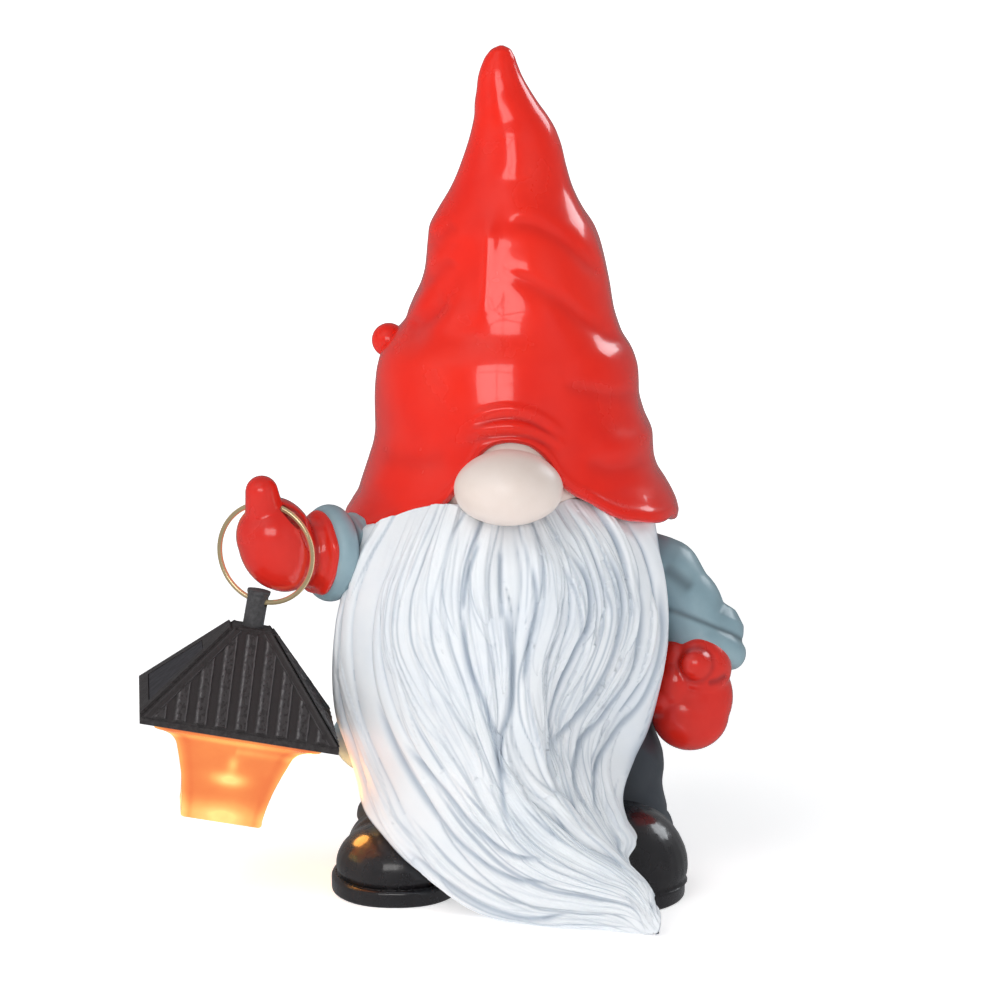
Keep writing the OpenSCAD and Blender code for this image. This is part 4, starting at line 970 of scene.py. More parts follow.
def build_coat():
    nt_, nz = 300, 170
    th = np.linspace(0, 360, nt_, endpoint=False)
    F, T = np.meshgrid(np.linspace(0, 1, nz) ** 1.15, th, indexing="ij")
    Z0 = 33.2 + 15.0 * smooth01((np.cos(np.radians(T)) + 0.05) / 0.75) * smooth01((0.75 - np.sin(np.radians(T))) / 0.6)
    Z = Z0 + (117 - Z0) * F
    cx, hw, hd = tab(COAT, Z, 1), tab(COAT, Z, 2), tab(COAT, Z, 3)
    c, s = np.cos(np.radians(T)), np.sin(np.radians(T))
    pw = 2 / 2.2
    P = np.stack([cx + hw * np.sign(c) * np.abs(c) ** pw, 1 + hd * np.sign(s) * np.abs(s) ** pw, Z], -1)
    nrm = np.stack([c, s, 0 * c], -1)
    low = smooth01((78 - Z) / 40)
    # hanging pleats, deeper towards the hem and at the back
    ple = 0.75 * low * np.sin(np.radians(T * 11 + 20 * noise(T / 30.0, Z / 40.0))) * (0.35 + 0.65 * smooth01(s + 0.4))
    ple += 0.5 * noise(T / 14.0, Z / 16.0, 2.0, 2)
    # centre seam and vent at the back
    d = (T - 90.0)
    seam = -0.55 * np.exp(-(d / 1.6) ** 2) * smooth01((110 - Z) / 10)
    # yoke line across the shoulders
    yoke = 0.45 * np.exp(-((Z - 98 - 2.0 * np.sin(np.radians(T * 2))) / 1.0) ** 2) * smooth01(s + 0.3)
    hem = -0.5 * np.exp(-((Z - Z0 - 11.4) / 0.9) ** 2) - 2.2 * np.exp(-(Z - Z0) / 1.2) * smooth01((Z0 - 35) / 6)
    hem = hem + 1.3 * np.exp(-((Z - 42) / 7.0) ** 2) * smooth01(-c * 1.4)
    h = ple + seam + yoke + hem
    P = P + nrm * h[..., None]
    # painted shade in the back seam, the hem groove and the pleat hollows
    cr = np.clip(np.exp(-(d / 1.4) ** 2) * 0.7 * smooth01((110 - Z) / 10) + np.exp(-((Z - Z0 - 11.4) / 0.8) ** 2) * 0.6
                 + np.clip(-ple, 0, 1) * 0.25, 0, 1)
    inner = []
    for k, (zz, off) in enumerate([(34.0, 6.0), (36, 7.5), (42, 7.5), (46, 7.5)]):
        cx1, hw1, hd1 = tab(COAT, np.array([zz]), 1)[0], 49.0 - off, 39.0 - off
        cc, ss = np.cos(np.radians(th)), np.sin(np.radians(th))
        inner.append(np.stack([cx1 + hw1 * np.sign(cc) * np.abs(cc) ** pw, 1 + hd1 * np.sign(ss) * np.abs(ss) ** pw, zz + Z0[0] - 33.2], -1))
    rings = inner[::-1] + [P[i] for i in range(nz)]
    faces = grid_faces(len(rings), nt_)
    faces.append(list(range((len(rings) - 1) * nt_, len(rings) * nt_)))
    ob = add_mesh("coat_body", np.concatenate(rings), faces, "figure", ["coat"], mat=M_COAT)
    # and a flat painted shade inside the hem
    add_attr(ob, "crease", np.concatenate([np.full(nt_ * len(inner), 0.8), cr.ravel()]))
    return ob


build_coat()

# ------------------------------------------------------------------ trousers

LEGS = {"left": (-26.5, -2.0), "right": (32.5, -6.0)}


def build_leg(cx, cy, out, drop, flare, r0):
    """Baggy trouser leg whose turned-up hem dips outwards over the boot."""
    nt_, nz = 200, 130
    th = np.linspace(0, 360, nt_, endpoint=False)
    f = np.linspace(0, 1, nz)
    F, T = np.meshgrid(f, th, indexing="ij")
    c, s = np.cos(np.radians(T)), np.sin(np.radians(T))
    side = c * out
    z0 = 18.6 - drop * side + 1.0 * s                        # hem height round the leg
    Z = z0 + (53 - z0) * F
    up = Z - z0
    r = r0 + 1.0 * np.exp(-up / 6.0) + flare * smooth01(side + 0.3) * np.exp(-up / 9.0)
    r = r - 3.4 * smooth01((Z - 36) / 14)
    # hem: a rolled band
    r = r + 0.8 * np.exp(-((up - 2.2) / 1.7) ** 4) - 0.45 * np.exp(-((up - 5.0) / 0.6) ** 2)
    bag = 0.35 * np.sin(np.radians(up * 20 + 2 * T + 60 * noise(T / 50.0, Z / 9.0))) * smooth01((up - 5) / 3)
    P = np.stack([cx + (r + bag) * c, cy + (r + bag) * s * 1.05, Z], -1)
    # painted shade in the hem groove and the hollows of the bagging
    cr = np.clip(np.exp(-((up - 5.0) / 0.7) ** 2) + np.clip(-bag, 0, 1) * 0.3, 0, 1)
    inner = []
    for dz, off in [(0.0, 0.8), (0.5, 1.9), (3.0, 2.4), (7.0, 3.4)]:
        rr = r[0] - off
        inner.append(np.stack([cx + rr * np.cos(np.radians(th)), cy + rr * 1.05 * np.sin(np.radians(th)), z0[0] + dz - (0.3 if off < 1 else 0)], -1))
    rings = inner[::-1] + [P[i] for i in range(nz)]
    faces = grid_faces(len(rings), nt_)
    faces.append(list(range((len(rings) - 1) * nt_, len(rings) * nt_)))
    return np.concatenate(rings), faces, np.concatenate([np.full(nt_ * len(inner), 0.8), cr.ravel()])


va, fa, ca_ = build_leg(*LEGS["left"], -1, 4.0, 0.4, 15.6)
vb, fb, cb_ = build_leg(*LEGS["right"], 1, 6.0, 2.4, 16.6)
wv, wf = ellipsoid((1, 1, 41), (41.5, 31, 8), n=96, m=24)
v_all, f_all = merge([(va, fa), (vb, fb), (wv, wf)])
tr = add_mesh("trouser_legs", v_all, f_all, "figure", ["trousers"], mat=M_TROUSER_SHADED)
# painted shade inside the hems and on the waist under the coat
add_attr(tr, "crease", np.concatenate([ca_, cb_, np.full(len(wv), 0.6)]))

# ------------------------------------------------------------------ boots


def build_boot(name, node, cx, toe, ax, ay, tall):
    nt_ = 200
    th = np.radians(np.linspace(0, 360, nt_, endpoint=False))
    cy = toe + 25.0

    def outline(grow):
        c, s = np.cos(th), np.sin(th)
        front = 25.2 + grow
        back = 28.2 + grow
        w = 20.0 + grow
        x = w * np.sign(c) * np.abs(c) ** 0.86
        # waist of the sole
        x = x * (1 - 0.07 * np.exp(-((s - 0.25) / 0.28) ** 2))
        y = np.where(s < 0, front, back) * np.sign(s) * np.abs(s) ** 0.9
        return cx + x, cy + y

    parts = []
    rings = []
    for z, g in [(0.0, -1.2), (0.0, -0.5), (0.25, -0.1), (0.8, 0.0), (3.6, 0.0), (4.3, -0.05), (4.9, -0.5), (5.1, -1.2), (5.0, -2.4)]:
        x, y = outline(g)
        rings.append(np.stack([x, y, np.full(nt_, z)], -1))
    v = np.concatenate(rings)
    f = grid_faces(len(rings), nt_)
    f.append(list(range(nt_))[::-1])
    f.append(list(range((len(rings) - 1) * nt_, len(rings) * nt_)))
    sole = (v, f)
    # welt stitching: a row of shallow pads round the top of the sole
    up = blob(name + "_upper", [
        ellipsoid((cx, toe + 18.5, 8.5), (18.2, 17.6, 12.6 * tall)),
        ellipsoid((cx, toe + 13.5, 7.5), (15.6, 12.8, 9.6 * tall)),
        ellipsoid(((cx + ax) / 2, toe + 31, 9.5), (17.6, 18, 13 * tall)),
        ellipsoid(((cx + ax) / 2, toe + 38, 8), (17.8, 14.2, 13 * tall)),
        capsule((ax, ay, 8), (ax, ay, 20), 14.6, 14.0)]
        + ([ellipsoid((cx + 0.2, toe + 21.5, 8.5), (20.4, 21.0, 18.6)), ellipsoid((cx, toe + 20, 4), (20.6, 20.6, 9))] if tall > 1 else []),
        0.55, 8, None, (), M_BOOT)
    uv = get_v(up)
    # flatten into the sole and pull in a groove above the welt
    keep = uv[:, 2] < 4.6
    uv[keep, 2] = 4.6
    ctr = np.array([cx, toe + 26.0])
    d = uv[:, :2] - ctr
    groove = np.exp(-((uv[:, 2] - 5.6) / 0.9) ** 2) * 0.02
    uv[:, :2] = ctr + d * (1 - groove)[:, None]
    # soft creases across the instep
    inst = 0.45 * np.sin((uv[:, 1] - toe) * 0.75) * np.exp(-((uv[:, 1] - toe - 30) / 6) ** 2) * smooth01((uv[:, 2] - 12) / 5)
    uv[:, 2] += inst
    uf = [list(p.vertices) for p in up.data.polygons]
    bpy.data.objects.remove(up)
    # stitches on the welt
    st = []
    n_st = 64
    for i in range(n_st):
        k = int(i * nt_ / n_st)
        x, y = outline(-1.35)
        k2 = (k + 1) % nt_
        a = np.array([x[k], y[k], 5.05])
        b_ = np.array([x[k2], y[k2], 5.05])
        t = (b_ - a) / (np.linalg.norm(b_ - a) + 1e-9)
        st.append(capsule(a - t * 0.55, a + t * 0.55, 0.28, 0.28, n=8, m=3))
    v, f = merge([sole, (uv, uf)] + st)
    ob = add_mesh(name, v, f, "figure", [node], mat=M_BOOT)
    # painted shade in the groove above the welt
    cr = np.exp(-((v[:, 2] - 5.3) / 0.5) ** 2) * 0.8
    add_attr(ob, "crease", cr)
    return ob


build_boot("boot_left_shoe", "boot_left", -31.2, -45.5, -26.5, -2.0, 1.0)
build_boot("boot_right_shoe", "boot_right", 35.6, -50.5, 32.5, -6.0, 1.3)

# ------------------------------------------------------------------ arms

ARM = np.array([-0.86, -0.5, 0.09])
ARM /= np.linalg.norm(ARM)
CUFF = np.array([-54.6, -24.6, 102.9])
YAW = math.radians(-20)
RING_C = np.array([-68.8, -32.0, 104.6])
RING_E = np.array([math.cos(YAW), math.sin(YAW), 0.0])
RING_R = 14.8


def ring_at(a, b):
    return RING_C + a * RING_E + np.array([0, 0, b])


# raised sleeve
slv = blob("sleeve_raised_cloth", [
    capsule(CUFF - 6.2 * ARM, (-38, -9, 98), 12.0, 12.4),
    capsule((-44, -14, 100), (-34, -4, 95), 12.4, 12.0),
    torus(CUFF - 4.6 * ARM, ARM, 11.6, 2.9, squash=1.25)],
    0.5, 7, "figure", ["sleeve_raised"], M_COAT)
v = get_v(slv)
n = get_n(slv)
al = (v - CUFF) @ ARM
rad = (v - CUFF) - al[:, None] * ARM
ang = np.degrees(np.arctan2(rad[:, 2], rad @ np.cross(ARM, [0, 0, 1.0])))
h = -0.55 * np.exp(-((al + 9.2) / 0.9) ** 2)
h += 0.6 * np.sin(al * 0.9 + 0.02 * ang + 1.2 * noise(v[:, 0] / 6, v[:, 1] / 6, v[:, 2] / 6)) * smooth01((-al - 10) / 4)
h += 0.35 * noise(v[:, 0] / 3.5, v[:, 1] / 3.5, v[:, 2] / 3.5) * smooth01((-al - 9) / 3)
set_v(slv, v + n * h[:, None])
# painted shade in the cuff groove and the wrinkle hollows
add_attr(slv, "crease", np.clip(np.exp(-((al + 9.2) / 0.8) ** 2) * 0.8 + np.clip(-h, 0, 0.6) * 0.5 * smooth01((-al - 10) / 4), 0, 1))

# raised mitten
chord_a, chord_b = np.array([-6.4, 13.35]), np.array([12.0, 8.66])
chord_m = (chord_a + chord_b) / 2
chord_u = (chord_b - chord_a) / np.linalg.norm(chord_b - chord_a)
bore_m = chord_m + (RING_R - np.linalg.norm(chord_m)) / 2 * chord_m / np.linalg.norm(chord_m)
BORE_P = ring_at(*bore_m)
BORE_D = chord_u[0] * RING_E + np.array([0, 0, chord_u[1]])

mit = blob("mitten_raised_glove", [
    ellipsoid((-65.6, -29.8, 107.0), (11.5, 11.2, 14.2), rot=(0, -15, 0)),
    capsule((-66.6, -30, 109.4), (-63.4, -29.0, 102.0), 11.1, 9.6, n=40, m=12),
    capsule((-69.7, -33, 123.2), (-68.4, -32.0, 112), 4.9, 6.6),
    capsule(CUFF - 1.0 * ARM, (-62, -26.5, 106), 8.6, 7.4),
    torus(CUFF - 0.6 * ARM, ARM, 10.6, 2.0, squash=0.9),
    capsule(CUFF - 1.6 * ARM, CUFF - 0.6 * ARM, 11.4, 11.2, m=3)],
    0.38, 22, None, (), M_MITT)
v = get_v(mit)
n = get_n(mit)
al = (v - CUFF) @ ARM
# folds in the flared cuff
rad = (v - CUFF) - al[:, None] * ARM
e1 = np.cross(ARM, [0, 0, 1.0])
ang = np.arctan2(rad[:, 2], rad @ e1)
cuffw = np.exp(-((al - 0.5) / 2.6) ** 2)
h = 0.30 * cuffw * np.sin(ang * 5 + al * 0.8 + 0.6) + 0.12 * cuffw * np.sin(ang * 9 + 1.0)
h += -0.5 * np.exp(-((al - 3.8) / 0.8) ** 2)
set_v(mit, v + n * h[:, None])
# bore for the ring
cyl_v, cyl_f = capsule(BORE_P - 24 * BORE_D, BORE_P + 24 * BORE_D, 2.7, 2.7, n=40, m=2)
cut = add_mesh("cutter", cyl_v, cyl_f, None)
bo = mit.modifiers.new("bore", "BOOLEAN")
bo.operation = "DIFFERENCE"
bo.solver = "EXACT"
bo.object = cut
g1v, g1f = capsule(ring_at(12.4, 8.2), ring_at(15.4, 1.0), 1.9, 1.7, n=24, m=6)
cut2 = add_mesh("cutter2", g1v, g1f, None)
bo2 = mit.modifiers.new("crease_cut", "BOOLEAN")
bo2.operation = "DIFFERENCE"
bo2.solver = "EXACT"
bo2.object = cut2
g2v, g2f = ellipsoid(ring_at(-8, 12.4), (2.6, 2.6, 2.6), n=24, m=16)
cut3 = add_mesh("cutter3", g2v, g2f, None)
bo3 = mit.modifiers.new("countersink", "BOOLEAN")
bo3.operation = "DIFFERENCE"
bo3.solver = "EXACT"
bo3.object = cut3
apply_mods(mit)
bpy.data.objects.remove(cut)
bpy.data.objects.remove(cut2)
bpy.data.objects.remove(cut3)
mit.data.polygons.foreach_set("use_smooth", [True] * len(mit.data.polygons))
v = get_v(mit)
al = (v - CUFF) @ ARM
dline = np.linalg.norm(np.cross(v - BORE_P, BORE_D), axis=1)
# painted shade in the cuff groove and inside the ring's bore
add_attr(mit, "crease", np.clip(np.exp(-((al - 4.0) / 1.0) ** 2) * 0.55 + (dline < 2.85) * 0.7, 0, 1))
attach(mit, "figure")
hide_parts("mitten_raised")

# lowered sleeve
LOWER = np.array([-0.33, -0.34, -0.88])
LOWER /= np.linalg.norm(LOWER)
LC = from_front(707.0, 645.0, -5.0)
sl2 = blob("sleeve_lowered_cloth", [
    capsule((34, 2, 95), (47.4, -1, 91.6), 11.8, 11.4, n=40, m=12),
    capsule((49.4, -1, 90.5), (60.6, -5.0, 70.5), 11.6, 11.4, n=40, m=12),
    ellipsoid((55.0, -3.2, 81.0), (12.4, 11.4, 14.6), rot=(0, -28, 0)),
    torus(LC + 0.2 * LOWER, LOWER, 8.4, 4.0, squash=1.15),
    capsule(LC - 4 * LOWER, LC + 0.2 * LOWER, 10.2, 9.0, m=4)],
    0.5, 9, "figure", ["sleeve_lowered"], M_COAT)
v = get_v(sl2)
n = get_n(sl2)
al = (v - LC) @ LOWER
px, py = front_view(v)
fr = smooth01((-n[:, 1] + 0.1) / 0.5)
h = -0.35 * np.exp(-((al + 4.9) / 1.1) ** 2)
creases = [([(662, 566), (676, 576), (694, 590)], 0.35, 7.0)]
# painted shade in the cuff groove and the elbow crease
cr = np.exp(-((al + 4.6) / 0.8) ** 2) * 0.8
for pts, dep, w in creases:
    d, t = line_dist(px, py, curve2(pts))
    g = np.exp(-(d / w) ** 2) * smooth01(np.minimum(t, 1 - t) * 5) * fr
    h += -dep * g + 0.6 * dep * np.exp(-((np.abs(d) - 2.0 * w) / w) ** 2) * smooth01(np.minimum(t, 1 - t) * 5) * fr
    cr = np.maximum(cr, g * 0.7)
h += 0.2 * noise(v[:, 0] / 14, v[:, 1] / 14, v[:, 2] / 14) * smooth01((-al - 5) / 3)
bk_ = smooth01((n[:, 1] - 0.15) / 0.5)
h += 0.15 * bk_ * smooth01((n[:, 1] - 0.4) / 0.4) * np.sin(al * 0.5 + v[:, 0] * 0.18) * smooth01((-al - 6) / 4)
h += 0.12 * np.exp(-(al / 3.2) ** 2) * np.sin(np.arctan2(v[:, 1] - LC[1], v[:, 0] - LC[0]) * 7)
set_v(sl2, v + n * h[:, None])
add_attr(sl2, "crease", np.clip(cr, 0, 1))

# lowered mitten
mt2 = blob("mitten_lowered_glove", [
    ellipsoid(from_front(701.0, 667.0, -12.5), (9.3, 9.4, 10.4)),
    ellipsoid(from_front(690.0, 713.0, -11.0), (11.9, 10.4, 11.4)),
    ellipsoid(from_front(697.0, 700.0, -11.0), (10.8, 10.0, 13.0), rot=(0, 14, 0)),
    capsule(from_front(696.0, 664.0, -18.6), from_front(700.0, 682.0, -13.5), 4.4, 6.4),
    ellipsoid(from_front(676.0, 684.0, -13.0), (7.0, 7.4, 9.0)),
    capsule(from_front(678.0, 656.0, -11.0), from_front(666.0, 694.0, -12.0), 6.0, 7.0)],
    0.42, 16, None, (), M_MITT)
v = get_v(mt2)
n = get_n(mt2)
px, py = front_view(v)
fr = smooth01((-n[:, 1] + 0.1) / 0.5)
h = np.zeros(len(v))
# painted shade: in the crease and in a ring round the thumb ball
cr = np.zeros(len(v))
for pts, dep, w in [([(706, 684), (716, 682), (730, 674)], 0.5, 3.4)]:
    d, t = line_dist(px, py, curve2(pts))
    g = np.exp(-(d / w) ** 2) * smooth01(np.minimum(t, 1 - t) * 5) * fr
    h -= dep * g
    cr = np.maximum(cr, g * 0.7)
h += 1.0 * np.exp(-(((px - 696) ** 2 + (py - 664) ** 2) / 15.0 ** 2) ** 2) * fr
ballr = np.hypot(px - 696, py - 664)
h -= 0.45 * np.exp(-((ballr - 17.5) / 3.0) ** 2) * fr
cr = np.maximum(cr, 0.35 * np.exp(-((ballr - 17.5) / 2.6) ** 2) * fr)
set_v(mt2, v + n * h[:, None])
add_attr(mt2, "crease", cr)
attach(mt2, "figure")
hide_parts("mitten_lowered")

# ------------------------------------------------------------------ lantern: finished CAD nodes


def finish_node(name, mat, bevel=None, smooth=True, sub=0):
    ob = NODES[name]
    me = ob.data
    me.materials.clear()
    me.materials.append(mat)
    if bevel:
        b = ob.modifiers.new("soft_edges", "BEVEL")
        b.width = bevel / 1000
        b.segments = 2
        b.limit_method = "ANGLE"
        b.angle_limit = math.radians(35)
    return ob


finish_node("hanging_ring", M_BRASS_GLOW)
# painted light: the ring glows faintly in its own brass colour, which brightens it
for n_ in M_BRASS_GLOW.node_tree.nodes:
    if n_.bl_idname == "ShaderNodeBsdfPrincipled":
        n_.inputs["Emission Color"].default_value = (0.92, 0.74, 0.42, 1)
        n_.inputs["Emission Strength"].default_value = 0.22
finish_node("hanger_post", M_POST)
finish_node("lantern_roof", M_ROOF, bevel=0.18)
for m_ in (M_ROOF, M_SOLAR, M_COVER):
    for n_ in m_.node_tree.nodes:
        if n_.bl_idname == "ShaderNodeBsdfPrincipled":
            n_.inputs["Specular IOR Level"].default_value = 0.12
finish_node("solar_cell", M_SOLAR)
finish_node("cell_cover", M_COVER)
finish_node("chassis_plate", M_CHASSIS)
finish_node("led", M_LED)
finish_node("led_holder", M_WHITE)
finish_node("circuit_board", M_BOARD)
finish_node("driver_chip", M_BLACK)
finish_node("choke", M_BLACK)
finish_node("battery", M_WRAP)
finish_node("contact_spring", M_STEEL)
finish_node("contact_plate", M_STEEL)
finish_node("switch_body", M_STEEL)
finish_node("switch_slider", M_BLACK)
finish_node("chassis_screws", M_STEEL)
finish_node("solar_leads", M_LEADS)
finish_node("battery_leads", M_BLACK)

# ------------------------------------------------------------------ lantern: outer pieces in the lantern's own frame

LR = np.array(Matrix.Rotation(math.radians(10.4), 3, "Y") @ Matrix.Rotation(math.radians(-4.5), 3, "X")
              @ Matrix.Rotation(math.radians(5), 3, "Z"))
HANG = math.radians(191.5)
HANG_P = ring_at(RING_R * math.sin(HANG), RING_R * math.cos(HANG))
Z_TOP, ROOF_H, RW, RT = -7.8, 26.7, 29.0, 5.25
Z_EAVE = Z_TOP - ROOF_H
Z_CB = Z_EAVE - 1.4
SLOPE = math.hypot(RW - RT, ROOF_H)
SA, CA = ROOF_H / SLOPE, (RW - RT) / SLOPE


def lan(p):
    """Lantern-frame points (mm, from the ring's wire down) -> design points."""
    return np.asarray(p, float) @ LR.T + HANG_P


def roof_face(k, u, v, w):
    """Across the eave, up the slope and out of face k -> lantern frame."""
    x, y, z = -CA * v + SA * w + RW, u, SA * v + CA * w + Z_EAVE
    c, s = round(math.cos(math.radians(90 * k))), round(math.sin(math.radians(90 * k)))
    return np.stack([c * x - s * y, s * x + c * y, z], -1)


def roof_skin(k):
    """Weathered-looking boards on one face: raised, rough-edged battens between smooth hip margins, with painted
    highlight along their ridges and margins.
    """
    nu, nv_ = 420, 190
    a = np.linspace(-1, 1, nu)
    b = np.linspace(0, 1, nv_)
    B, A = np.meshgrid(b, a, indexing="ij")
    vmax = SLOPE - 1.3
    V = 0.7 + (vmax - 0.7) * B
    half = RW - (RW - RT) * V / SLOPE
    U = A * (half - 0.35)
    pitch = 5.9
    wob = 0.10 * noise(U / 2.0, V / 2.5, 3.3 + k, 2)
    c = ((U + wob + pitch / 2) % pitch) - pitch / 2              # 0 in the middle of a batten
    inside = np.clip((half - 2.8 - np.abs(U)) / 0.5, 0, 1) * smooth01((vmax - 0.6 - V) / 0.6) * smooth01((V - 0.9) / 0.4)
    rough = noise(U / 0.55, V / 0.85, 9.1 + k, 3)
    bat = smooth01((1.95 - np.abs(c)) / 0.35)
    ridge = np.exp(-((c + 1.15) / 0.42) ** 2)
    ridge2 = np.exp(-((c - 1.45) / 0.18) ** 2)
    h = 0.07 + inside * (bat * (0.55 + 0.14 * rough) + ridge * (0.22 + 0.26 * rough) + ridge2 * 0.10)
    # smooth raised margin along each hip
    m = half - np.abs(U)
    hip = smooth01((3.0 - m) / 0.4)
    h = h + hip * 0.34 + 0.16 * np.exp(-((m - 2.7) / 0.25) ** 2) + 0.25 * np.exp(-((m - 0.5) / 0.5) ** 2)
    h = h + 0.02 * noise(U / 0.4, V / 0.4, 5.0, 2)
    P = roof_face(k, U, V, h)
    Q = roof_face(k, U[[0, -1]], V[[0, -1]], np.full((2, nu), -0.15))
    rows = np.concatenate([Q[:1], P, Q[1:]])
    # painted highlight on the edges of each batten, mostly one edge, paler batten tops so the gaps read as painted
    # shade, and painted highlight on the lines of each hip margin
    ridge_light_shade = np.clip(inside * (ridge * (0.62 + 0.5 * rough) + ridge2 * 0.5 + bat * 0.20 + 0.12 * bat * rough)
                   + 0.45 * np.exp(-((m - 2.7) / 0.22) ** 2) + 0.25 * np.exp(-((m - 0.5) / 0.4) ** 2), 0, 1)
    ridge_light_shade = np.concatenate([ridge_light_shade[:1], ridge_light_shade, ridge_light_shade[-1:]])
    f = grid_faces(nv_ + 2, nu, wrap=False, flip=False)
    ob = add_mesh("roof_boards_%d" % (k + 1), lan(rows.reshape(-1, 3)), f, "lantern", mat=M_SKIN_ROOF)
    add_attr(ob, "ridge", ridge_light_shade.ravel())
    return ob


def roof_skin_mat():
    m, nt, b = new_mat("roof_boards")
    tc = nd(nt, "ShaderNodeTexCoord")
    at = nd(nt, "ShaderNodeAttribute", attribute_name="ridge")
    n = nd(nt, "ShaderNodeTexNoise", inputs={"Scale": 1500.0, "Detail": 6.0})
    nt.links.new(tc.outputs["Object"], n.inputs["Vector"])
    mr = nd(nt, "ShaderNodeMapRange", inputs={"From Min": 0.3, "From Max": 0.7, "To Min": -0.07, "To Max": 0.07})
    nt.links.new(n.outputs["Fac"], mr.inputs["Value"])
    ad = nd(nt, "ShaderNodeMath", operation="ADD")
    nt.links.new(at.outputs["Fac"], ad.inputs[0])
    nt.links.new(mr.outputs["Result"], ad.inputs[1])
    # colour paler where the ridge value is high: painted highlight
    r = ramp(nt, [(0.0, (0.040, 0.035, 0.036)), (0.35, (0.062, 0.057, 0.059)), (0.75, (0.115, 0.108, 0.112)), (1.0, (0.17, 0.165, 0.168))])
    nt.links.new(ad.outputs["Value"], r.inputs["Fac"])
    nt.links.new(r.outputs["Color"], b.inputs["Base Color"])
    mr2 = nd(nt, "ShaderNodeMapRange", inputs={"From Min": 0.3, "From Max": 0.7, "To Min": 0.46, "To Max": 0.66})
    nt.links.new(n.outputs["Fac"], mr2.inputs["Value"])
    nt.links.new(mr2.outputs["Result"], b.inputs["Roughness"])
    b.inputs["Specular IOR Level"].default_value = 0.35
    bm = nd(nt, "ShaderNodeBump", inputs={"Strength": 0.3, "Distance": 0.0003})
    nt.links.new(n.outputs["Fac"], bm.inputs["Height"])
    nt.links.new(bm.outputs["Normal"], b.inputs["Normal"])
    return m


M_SKIN_ROOF = roof_skin_mat()
for k in (-1, 0, 1):
    roof_skin(k)

LENS = [[0.3, 24.4], [0.8, 24.4], [1.6, 24.3], [2.1, 23.2], [2.6, 21.6], [3.3, 20.1], [4, 19], [5, 18.0], [6, 17.3], [7.5, 16.7],
        [9, 16.2], [13, 14.9], [18, 13.5], [23, 12.5], [27, 12.0], [28.6, 11.9], [29, 11.6]]
LENS_IN = [[27.7, 0.3], [27.7, 10.2], [27.2, 10.7], [23, 11.3], [18, 12.3], [14, 13.4], [10, 14.6], [7, 15.5], [4.8, 17.1], [3.2, 19.6], [1.9, 22.75], [0.3, 22.75]]


def lens_mat():
    """Frosted amber plastic; its light from the LED is painted on as emission, with a painted pattern of brighter and
    darker places.
    """
    m, nt, b = new_mat("amber_glow")
    tc = nd(nt, "ShaderNodeTexCoord")
    at = nd(nt, "ShaderNodeAttribute", attribute_name="glow")
    n = nd(nt, "ShaderNodeTexNoise", inputs={"Scale": 90.0, "Detail": 3.0})
    nt.links.new(tc.outputs["Object"], n.inputs["Vector"])
    mr = nd(nt, "ShaderNodeMapRange", inputs={"From Min": 0.3, "From Max": 0.7, "To Min": -0.09, "To Max": 0.09})
    nt.links.new(n.outputs["Fac"], mr.inputs["Value"])
    ad = nd(nt, "ShaderNodeMath", operation="ADD")
    nt.links.new(at.outputs["Fac"], ad.inputs[0])
    nt.links.new(mr.outputs["Result"], ad.inputs[1])
    r = ramp(nt, [(0.0, lin((198, 98, 58))), (0.3, lin((212, 130, 74))), (0.6, lin((218, 172, 98))), (0.85, lin((220, 206, 126))), (1.0, lin((224, 234, 146)))])
    nt.links.new(ad.outputs["Value"], r.inputs["Fac"])
    nt.links.new(r.outputs["Color"], b.inputs["Emission Color"])
    b.inputs["Emission Strength"].default_value = 1.0
    b.inputs["Base Color"].default_value = (0.36, 0.10, 0.02, 1)
    b.inputs["Roughness"].default_value = 0.22
    b.inputs["Specular IOR Level"].default_value = 0.5
    bm = nd(nt, "ShaderNodeBump", inputs={"Strength": 0.10, "Distance": 0.0004})
    nt.links.new(n.outputs["Fac"], bm.inputs["Height"])
    nt.links.new(bm.outputs["Normal"], b.inputs["Normal"])
    return m


